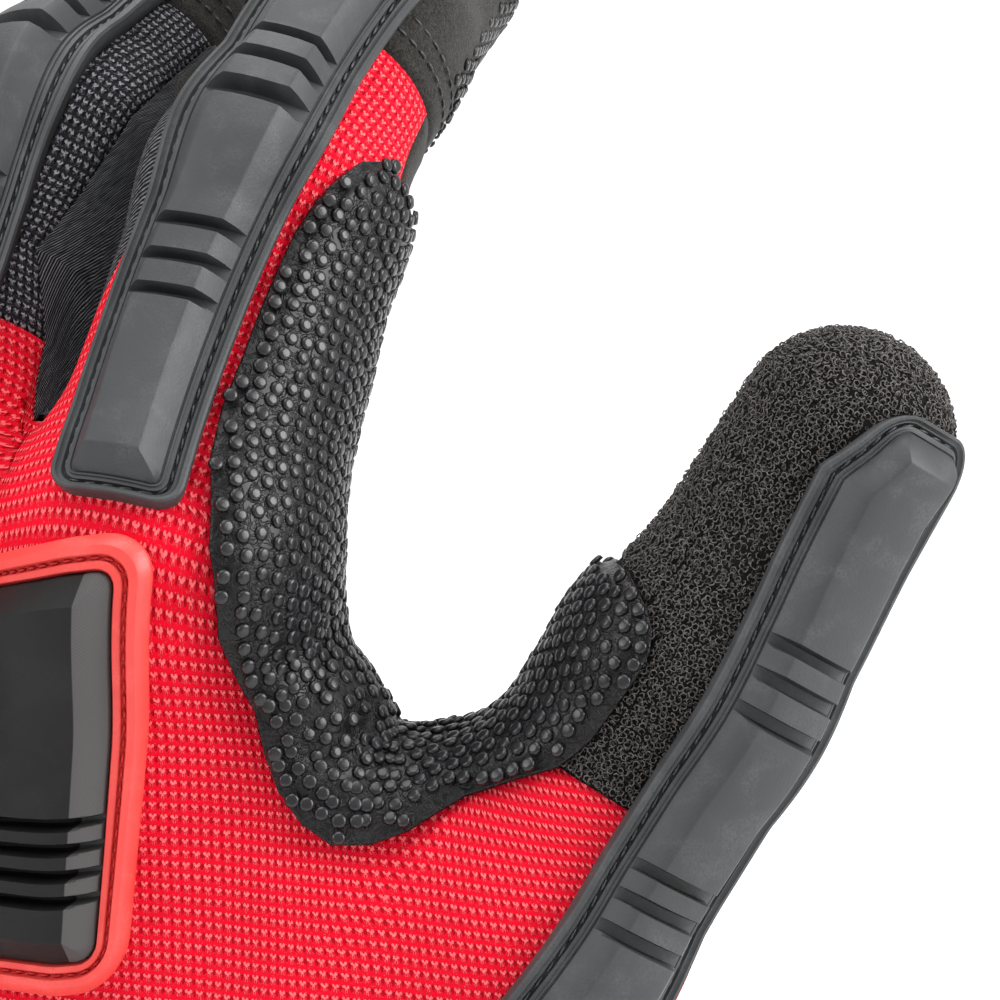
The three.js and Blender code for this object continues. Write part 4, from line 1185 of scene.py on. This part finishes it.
# %% Strips
STRIPS = {
    # axis, centre angle by station, half width, first and last station, middles of the cuts,
    # lift over the form, radius of the outline's corners, growth of the width to the far end,
    # slant of the far end's left shoulder
    "index": (INDEX, ramp([(0, 11), (15, 6.5), (32, 9.5), (41, 13.5), (50, 16.5), (64, 16), (80, 17)]),
              7.6, -0.5, 84, (24.4, 28.7, 33.0, 47.2, 50.9, 54.9), 0.25, 3.7, 0.16, 0),
    "middle": (MIDDLE, ramp([(0, 0), (28, -3), (50, -9), (90, -9)]), 7.6, 3.5, 92,
               (27, 31.4, 35.8, 52, 56.6, 61.2), 0.25, 3.7, 0, 0),
    "ring": (RING, ramp([(0, 0), (90, 0)]), 7.0, 6, 86, (29, 33.2, 37.4, 52, 56.2, 60.4), 0.45, 3.7, 0, 0),
    "little": (LITTLE, ramp([(0, 0), (90, 0)]), 6.4, 7, 66, (20, 24, 28, 40, 44, 48), 0.2, 3.7, 0, 0),
    "thumb": (DIGIT, ramp([(10, 30), (50, 30), (68, 34), (88, 36), (124, 30)]), 8.1, 16, 121,
              (56.2, 59.9, 63.6, 84.1, 88.0, 91.8), 0.45, 4.2, 0, 5.2),
}
CUT_LINES = np.array([-1.05, -0.97, -0.55, -0.47, 0, 0.5, 0.58, 0.66, 0.8])
stitch_lines = []
for name, (f, centre, half, s0, s1, cuts, lift, radius, growth, slant) in STRIPS.items():
    tall, mid = (s1 - s0) / 2, (s0 + s1) / 2
    near = (np.array(cuts)[:, None] + CUT_LINES).ravel() - mid
    x, y = lattice(half, tall, STRIP_PROFILE[:, 0], 0.9, near)
    x, y, e = corner(x, y, half, tall, radius)
    height = np.interp(e, *STRIP_PROFILE.T)
    past = y[..., None] + mid - np.array(cuts)
    rise = np.clip(np.maximum((past - 0.58) / 0.08, (-0.55 - past) / 0.42), 0, 1).min(-1)
    height = np.where(e > 2.85, np.minimum(height, 1.85 + 2.8 * rise), height) + lift

    knots = np.linspace(s0, s1, int((s1 - s0) / 9.5) + 1)
    sides = np.linspace(-1, 1, 17) * half * (1 + growth * np.linspace(0, 1, len(knots)))[:, None]
    out = np.linalg.norm(on_finger(f, knots, centre(knots)) - station(f, knots)[0], axis=-1)
    sheet = on_finger(f, knots[:, None], centre(knots)[:, None] + np.degrees(sides / out[:, None]))
    sheet[1:-1] = (sheet[:-2] + 2 * sheet[1:-1] + sheet[2:]) / 4

    def place(x, y, sheet=sheet, half=half, tall=tall, slant=slant):
        """Stiff rubber bridges the small unevenness of the finger: a smooth sheet through few
        stations, straight between 17 points across. Over the last 9.5 mm a slanted shoulder
        moves the left edge inwards by up to slant, and points further right by less."""
        x = x + slant * np.clip((y - tall + 9.5) / 9.5, 0, 1) * (1 - x / half) / 2
        t = np.clip((y + tall) / (2 * tall), 0, 1).ravel() * (len(sheet) - 1)
        column = np.clip((x + half) / (2 * half), 0, 1).ravel() * 16
        left = np.minimum(column.astype(int), 15)
        share = (column - left)[:, None]
        low = np.minimum(t.astype(int), len(sheet) - 2)
        a, b, c, d = [sheet[k, left] * (1 - share) + sheet[k, left + 1] * share
                      for k in np.clip(low + np.arange(-1, 3)[:, None], 0, len(sheet) - 1)]
        p = curve(a, b, c, d, (t - low)[:, None]).reshape(x.shape + (3,))
        return p + unit(slope(p)) * np.maximum(-form(p), 0)[..., None]

    plate(name + "_rubber", name + "_strip", place, (x, y), height, -0.15, "grey_rubber")
    line = ring_line(half, tall, GROOVE, radius)
    stitch_lines.append(on_form(place(*line), 1.0 + lift))
thread("strip_stitches", stitch_lines, 2.15, 1.75, 0.21, "thread", lean=0.1)

# %% [markdown]
# The knuckle guard: a coral flange sewn on with red thread, and a charcoal block in it with
# sloped sides and, near its lower edge, thin ribs between four cuts.

# %% Knuckle guard
GUARD = dict(x=-6, half=40, top=150.6, low=98, dip=3, rise=5, lean=0.15, taper=6.2, radius=6)
FLANGE_GROOVE, FLANGE_WIDTH = 2.56, 3.96
FLANGE_PROFILE = np.array([
    (0, 0.5), (0.1, 1.3), (0.27, 1.6), (1.2, 2.55), (1.35, 2.65), (2.15, 2.65), (2.25, 2.5), (2.33, 1.7),
    (FLANGE_GROOVE, 1.5), (2.8, 1.7), (2.88, 2.2), (3.0, 2.3), (3.65, 2.3), (3.74, 2.1), (3.82, 1.7),
    (FLANGE_WIDTH, 1.4)])
BLOCK_PROFILE = np.array([
    (FLANGE_WIDTH, 1.2), (4.06, 2.0), (4.2, 2.35), (5.1, 3.25), (6.0, 4.15), (6.85, 5.0), (6.95, 5.07),
    (7.6, 5.1)])
RIBS = np.array([-5.9, -8.8, -11.8, -14.8])
guard_tall = (GUARD["top"] - GUARD["low"]) / 2


def guard_place(x, y):
    """From the plate's plane onto the knuckles: waisted in the middle, leaning with the row."""
    waist = 1 - np.minimum(1, np.abs(x / GUARD["half"]) * 1.3)
    high, low = GUARD["top"] - GUARD["dip"] * waist, GUARD["low"] + GUARD["rise"] * waist
    z = (high + low) / 2 + y / guard_tall * (high - low) / 2 + GUARD["lean"] * (x - GUARD["half"])
    x = x * (1 - GUARD["taper"] * (1 - y / guard_tall) / 2 / GUARD["half"]) + GUARD["x"]
    return cast(np.stack([x * 0.94, 0 * x + 2, z], -1), np.stack([0.06 * x / 14, 0 * x - 1, 0 * x], -1))


profile = np.concatenate([FLANGE_PROFILE, BLOCK_PROFILE[1:]])
near = (RIBS[:, None] + np.array([-0.8, -0.62, -0.45, -0.2, 0, 0.2, 0.45, 0.62, 0.8])).ravel()
rim = profile[:, 0]
across_lines = np.arange(-GUARD["half"] + rim[-1] + 1.2, GUARD["half"] - rim[-1], 1.2)
up_lines = np.concatenate([np.arange(-guard_tall + rim[-1] + 1, guard_tall - rim[-1], 1), near])
up_lines = np.unique(np.round(up_lines, 2))
up_lines = up_lines[np.abs(up_lines) < guard_tall - rim[-1] - 0.05]
x, y = np.meshgrid(np.concatenate([-GUARD["half"] + rim, across_lines, GUARD["half"] - rim[::-1]]),
                   np.concatenate([-guard_tall + rim, up_lines, guard_tall - rim[::-1]]))
x, y, e = corner(x, y, GUARD["half"], guard_tall, GUARD["radius"])
cell_e = (e[:-1, :-1] + e[1:, 1:] + e[:-1, 1:] + e[1:, :-1]) / 4
flange_height = np.interp(e, *FLANGE_PROFILE.T)
block_height = np.interp(e, *BLOCK_PROFILE.T)
to_rib = np.abs(y[..., None] - RIBS).min(-1)
deep_cut = np.clip((to_rib - 0.42) / 0.3, 0, 1)
block_height = np.minimum(block_height, np.where(e < 7.6, 1.35, 1.8) + 3.8 * deep_cut)
plate("flange_rubber", "guard_flange", guard_place, (x, y), flange_height, -0.1, "red_rubber",
      cell_e < FLANGE_WIDTH)
plate("block_rubber", "guard_block", guard_place, (x, y), block_height, 0.2, "charcoal_rubber",
      cell_e > FLANGE_WIDTH)
line = ring_line(GUARD["half"], guard_tall, FLANGE_GROOVE, GUARD["radius"], n=160)
thread("guard_stitches", [on_form(guard_place(*line), 1.7)], 1.72, 1.35, 0.2, "red_thread")

# %% [markdown]
# The patch's dots sit in a honeycomb, as on a printed cloth that is stretched over a saddle. They
# start as rows along the patch, every second row set off by half a pitch.

# %% Rows of dots
PITCH, ROW_SHARE = 2.02, 0.866
DOT_RADIUS, DOT_TALL = 0.87, 0.5
CROWDED, WIDEST, REACH, OFF_EDGE = 0.72, 0.8, 1.08, 0.36  # shares of the pitch
FEWEST_ROWS, TURNS = 8, 36
across_patch = patch_uv[..., 0]
edge_points = np.concatenate([patch[0], patch[-1], patch[:, 0], patch[:, -1]])
dots = []
for k in range(-24, 25):
    offset = k * ROW_SHARE * PITCH
    order = np.sign(across_patch[0, -1] - across_patch[0, 0])
    inside = (across_patch.min(1) < offset - 0.3) & (across_patch.max(1) > offset + 0.3)
    if inside.sum() < FEWEST_ROWS:
        continue
    line = np.stack([place_along(offset * order, u * order, row)
                     for u, row in zip(across_patch[inside], patch[inside])])
    run = length_along(line)
    start = np.interp(SADDLE_ROW, number[inside, 0], run)
    first = -math.floor(start / PITCH) + (0.5 if k % 2 else 0)
    steps = start + np.arange(first, (run[-1] - start) / PITCH, 1) * PITCH
    dots.append(place_along(steps, run, line))
dots = np.concatenate(dots)
crowded = np.triu(np.sqrt(((dots[:, None] - dots[None]) ** 2).sum(-1)), 1)
dots = dots[~((crowded > 0) & (crowded < PITCH * CROWDED)).any(0)]

# %% [markdown]
# Rows alone leave gaps where the saddle spreads the cloth. Dots are added in the widest gaps,
# then all push each other apart, stay off the edge and are pressed back onto the form.

# %% Spacing of the dots
rng = np.random.default_rng(5)
free = rng.permutation(patch[2:-2, 3:-3].reshape(-1, 3))[:9000]
room = nearest(free, dots)
added = 0
while room.max() > PITCH * WIDEST:
    most = free[room.argmax()]
    dots = np.concatenate([dots, most[None]])
    room = np.minimum(room, np.linalg.norm(free - most, axis=1))
    added += 1
for turn_number in range(TURNS):
    gap = dots[:, None] - dots[None]
    far = np.sqrt(dot(gap, gap)) + np.eye(len(dots)) * 99
    push = np.maximum(1 - far / (PITCH * REACH), 0)
    move = (gap / far[..., None] * push[..., None]).sum(1) * 0.5
    gap = dots[:, None] - edge_points[None, ::2]
    to_edge = np.sqrt(dot(gap, gap))
    close_by = to_edge.argmin(1)
    pick = np.arange(len(dots))
    to_edge = to_edge[pick, close_by]
    inwards = gap[pick, close_by] / np.maximum(to_edge, 0.05)[:, None]
    dots = dots + move + inwards * (np.maximum(1 - to_edge / (PITCH * OFF_EDGE), 0) * 0.5)[:, None]
    if turn_number % 4 == 3:
        dots = press(dots, 1)
print("dots", len(dots), "of them", added, "filled in")

# %% [markdown]
# Each dot takes its height from the nearest point of the patch, so it rides on the folds. Dots
# that would hang over the border are left out.

# %% Heights of the dots
flat_patch = patch.reshape(-1, 3)
near_vertex = np.concatenate([((part[:, None] - flat_patch[None]) ** 2).sum(-1).argmin(1)
                              for part in np.array_split(dots, 12)])
edge_gap = nearest(dots, edge_points)
border = np.ones(patch.shape[:2], bool)
border[1:-1, 1:-1] = False
end_gap = nearest(dots, np.concatenate([patch[0], patch[-1]]))
keep = (edge_gap > 0.5) & (end_gap > 1.2) & ~border.ravel()[near_vertex]
dots, near_vertex, edge_gap = dots[keep], near_vertex[keep], edge_gap[keep]
raised = patch_lift.ravel()[near_vertex] + 0.92
raised = raised + patch_wrinkle(dots) * (1 - np.exp(-(edge_gap / 3) ** 2))

# %% [markdown]
# The dots are moulded studs with a flat top and a round shoulder. The fingertip has smaller ones
# on its inner side.

# %% Studs
def tangents(normal):
    """Two directions across each normal."""
    aside = unit(np.cross(normal, np.array([0.31, 0.2, 0.93])))
    return aside, np.cross(normal, aside)


def studs(name, points, height, radius, tall, finish, seed):
    """Round flat studs: rings of ten points at growing height and shrinking radius, closed by a
    fan. Each is tilted a little at random."""
    rng = np.random.default_rng(seed)
    normal = unit(slope(points))
    normal = unit(normal + rng.normal(size=normal.shape) * 0.07)
    aside, ahead = tangents(normal)
    base = points + normal * height[:, None]
    sides = np.arange(10) * np.pi / 5
    rings = np.array([(1.06, -0.25), (0.98, 0.55), (0.8, 0.92), (0.45, 1.0)])
    wide = radius * rng.uniform(0.93, 1.05, len(points))
    v = []
    for r, h in rings:
        turn = np.cos(sides)[:, None] * aside[:, None] + np.sin(sides)[:, None] * ahead[:, None]
        v.append(base[:, None] + turn * (r * wide)[:, None, None] + (normal * tall * h)[:, None])
    v = np.stack([*v], 1).reshape(len(points), 40, 3)
    quads = tube_faces(4, 10)
    fan = np.array([[30, 31, 32, 33], [30, 33, 34, 35], [30, 35, 36, 37], [30, 37, 38, 39]])
    foot = np.array([[3, 2, 1, 0], [5, 4, 3, 0], [7, 6, 5, 0], [9, 8, 7, 0]])
    one = np.concatenate([quads, fan, foot])
    obj = add_mesh(name, v.reshape(-1, 3), repeated(one, len(points), 40))
    wear(obj, finish)
    print(name, len(points), "studs")


studs("patch_dots", dots, raised, DOT_RADIUS, DOT_TALL, "dot", 21)

tip_rows = np.arange(71.5, INDEX.tip - 4, ROW_SHARE * PITCH)
tip_dots = []
for k, s in enumerate(tip_rows):
    turn = np.degrees(PITCH / 12.6)
    tip_dots.append(on_finger(INDEX, s, 104 + (k % 2) * turn / 2 + np.arange(0, 150, turn)))
tip_dots = np.concatenate(tip_dots)
studs("fingertip_dots", tip_dots, np.zeros(len(tip_dots)), 0.7, 0.4, "dot", 22)

# %% [markdown]
# Terry cloth is a ground with thousands of small loops of yarn. Each loop is most of a small
# ring of three-sided yarn, leaning at random; what strip and patch cover needs none.

# %% Loops
def loops(name, points, normal, radius, yarn, finish, seed):
    """Rings of yarn: radius times (cos t, sin t) for t over 300 degrees in a plane tilted at
    random from the surface, with a yarn of three sides around it."""
    rng = np.random.default_rng(seed)
    aside, ahead = tangents(normal)
    spin = rng.uniform(0, 2 * np.pi, len(points))
    flat = aside * np.cos(spin)[:, None] + ahead * np.sin(spin)[:, None]
    tilt = rng.uniform(0.1, 0.85, len(points))
    up = unit(np.cross(normal, flat)) * np.cos(tilt)[:, None] + normal * np.sin(tilt)[:, None]
    across = np.cross(flat, up)
    t = np.radians(np.linspace(-80, 240, 6))
    big = radius * rng.uniform(0.85, 1.15, len(points))
    ring = flat[:, None] * np.cos(t)[:, None] + up[:, None] * np.sin(t)[:, None]
    stand = (normal * big[:, None] * 0.5 * np.sin(tilt)[:, None])[:, None]
    middle = points[:, None] + ring * big[:, None, None] + stand
    sides = np.arange(3) * 2 * np.pi / 3
    tube = ring[:, :, None] * np.cos(sides)[:, None] + across[:, None, None] * np.sin(sides)[:, None]
    v = middle[:, :, None] + tube * yarn
    quads = tube_faces(6, 3)[:, [0, 3, 2, 1]]
    obj = add_mesh(name, v.reshape(-1, 3), repeated(quads, len(points), 18))
    wear(obj, finish)
    print(name, len(points), "loops")


LOOP_RADIUS, YARN_RADIUS, LOOP_PITCH = 0.36, 0.09, 0.82
DOME_LOOPS, GOLDEN_TURN = 900, 2.39996
rng = np.random.default_rng(8)
spots = []
for row in thumb[1:-2]:
    run = length_along(row)
    n = max(3, int(run[-1] / LOOP_PITCH))
    at = (np.arange(n) + rng.uniform(-0.3, 0.3, n)) * run[-1] / n % run[-1]
    spots.append(place_along(at, run, row))
spots = np.concatenate(spots)
k = np.arange(DOME_LOOPS) + 0.5
turn, fall = k * GOLDEN_TURN, np.arccos(1 - k / DOME_LOOPS * 0.8)
base, ahead_way, side_way, back_way, _ = station(DIGIT, np.array(DIGIT.tip - 11.0))
ways = (ahead_way * np.cos(fall)[:, None] + side_way * (np.sin(fall) * np.cos(turn))[:, None]
        + back_way * (np.sin(fall) * np.sin(turn))[:, None])
dome = cast(np.broadcast_to(base, ways.shape), ways)
spots = np.concatenate([spots, dome[nearest(dome, spots) > 0.5]])
spots = press(spots + rng.uniform(-0.14, 0.14, spots.shape), 1)
f, centre, half, s0, s1 = STRIPS["thumb"][:5]
inner = np.linspace(s0 + 6, s1 - 6, 80)
strip_mid = on_finger(f, inner, centre(inner))
under_patch = nearest(spots, patch[1:-1, 6:-6].reshape(-1, 3)) < 1.0
covered = (nearest(spots, strip_mid) < half - 1.6) | under_patch
spots = spots[~covered]
for part, chosen in (("front", spots[::2]), ("rear", spots[1::2])):
    loops("terry_loops_" + part, chosen, unit(slope(chosen)), LOOP_RADIUS, YARN_RADIUS, "terry_yarn",
          9)

# %% [markdown]
# The seam between the fingertip and the finger is topped by two rows of stitches.

# %% Seam stitches
seam_lines = []
for f in (INDEX, MIDDLE, RING, LITTLE):
    for off in (3.2, 5.6):
        turn = np.linspace(-100, 260, 181)
        seam_lines.append(on_form(on_finger(f, f.cap + off, turn), 0.12))
thread("seam_stitches", seam_lines, 1.9, 1.45, 0.17, "thread", bulge=0.08)
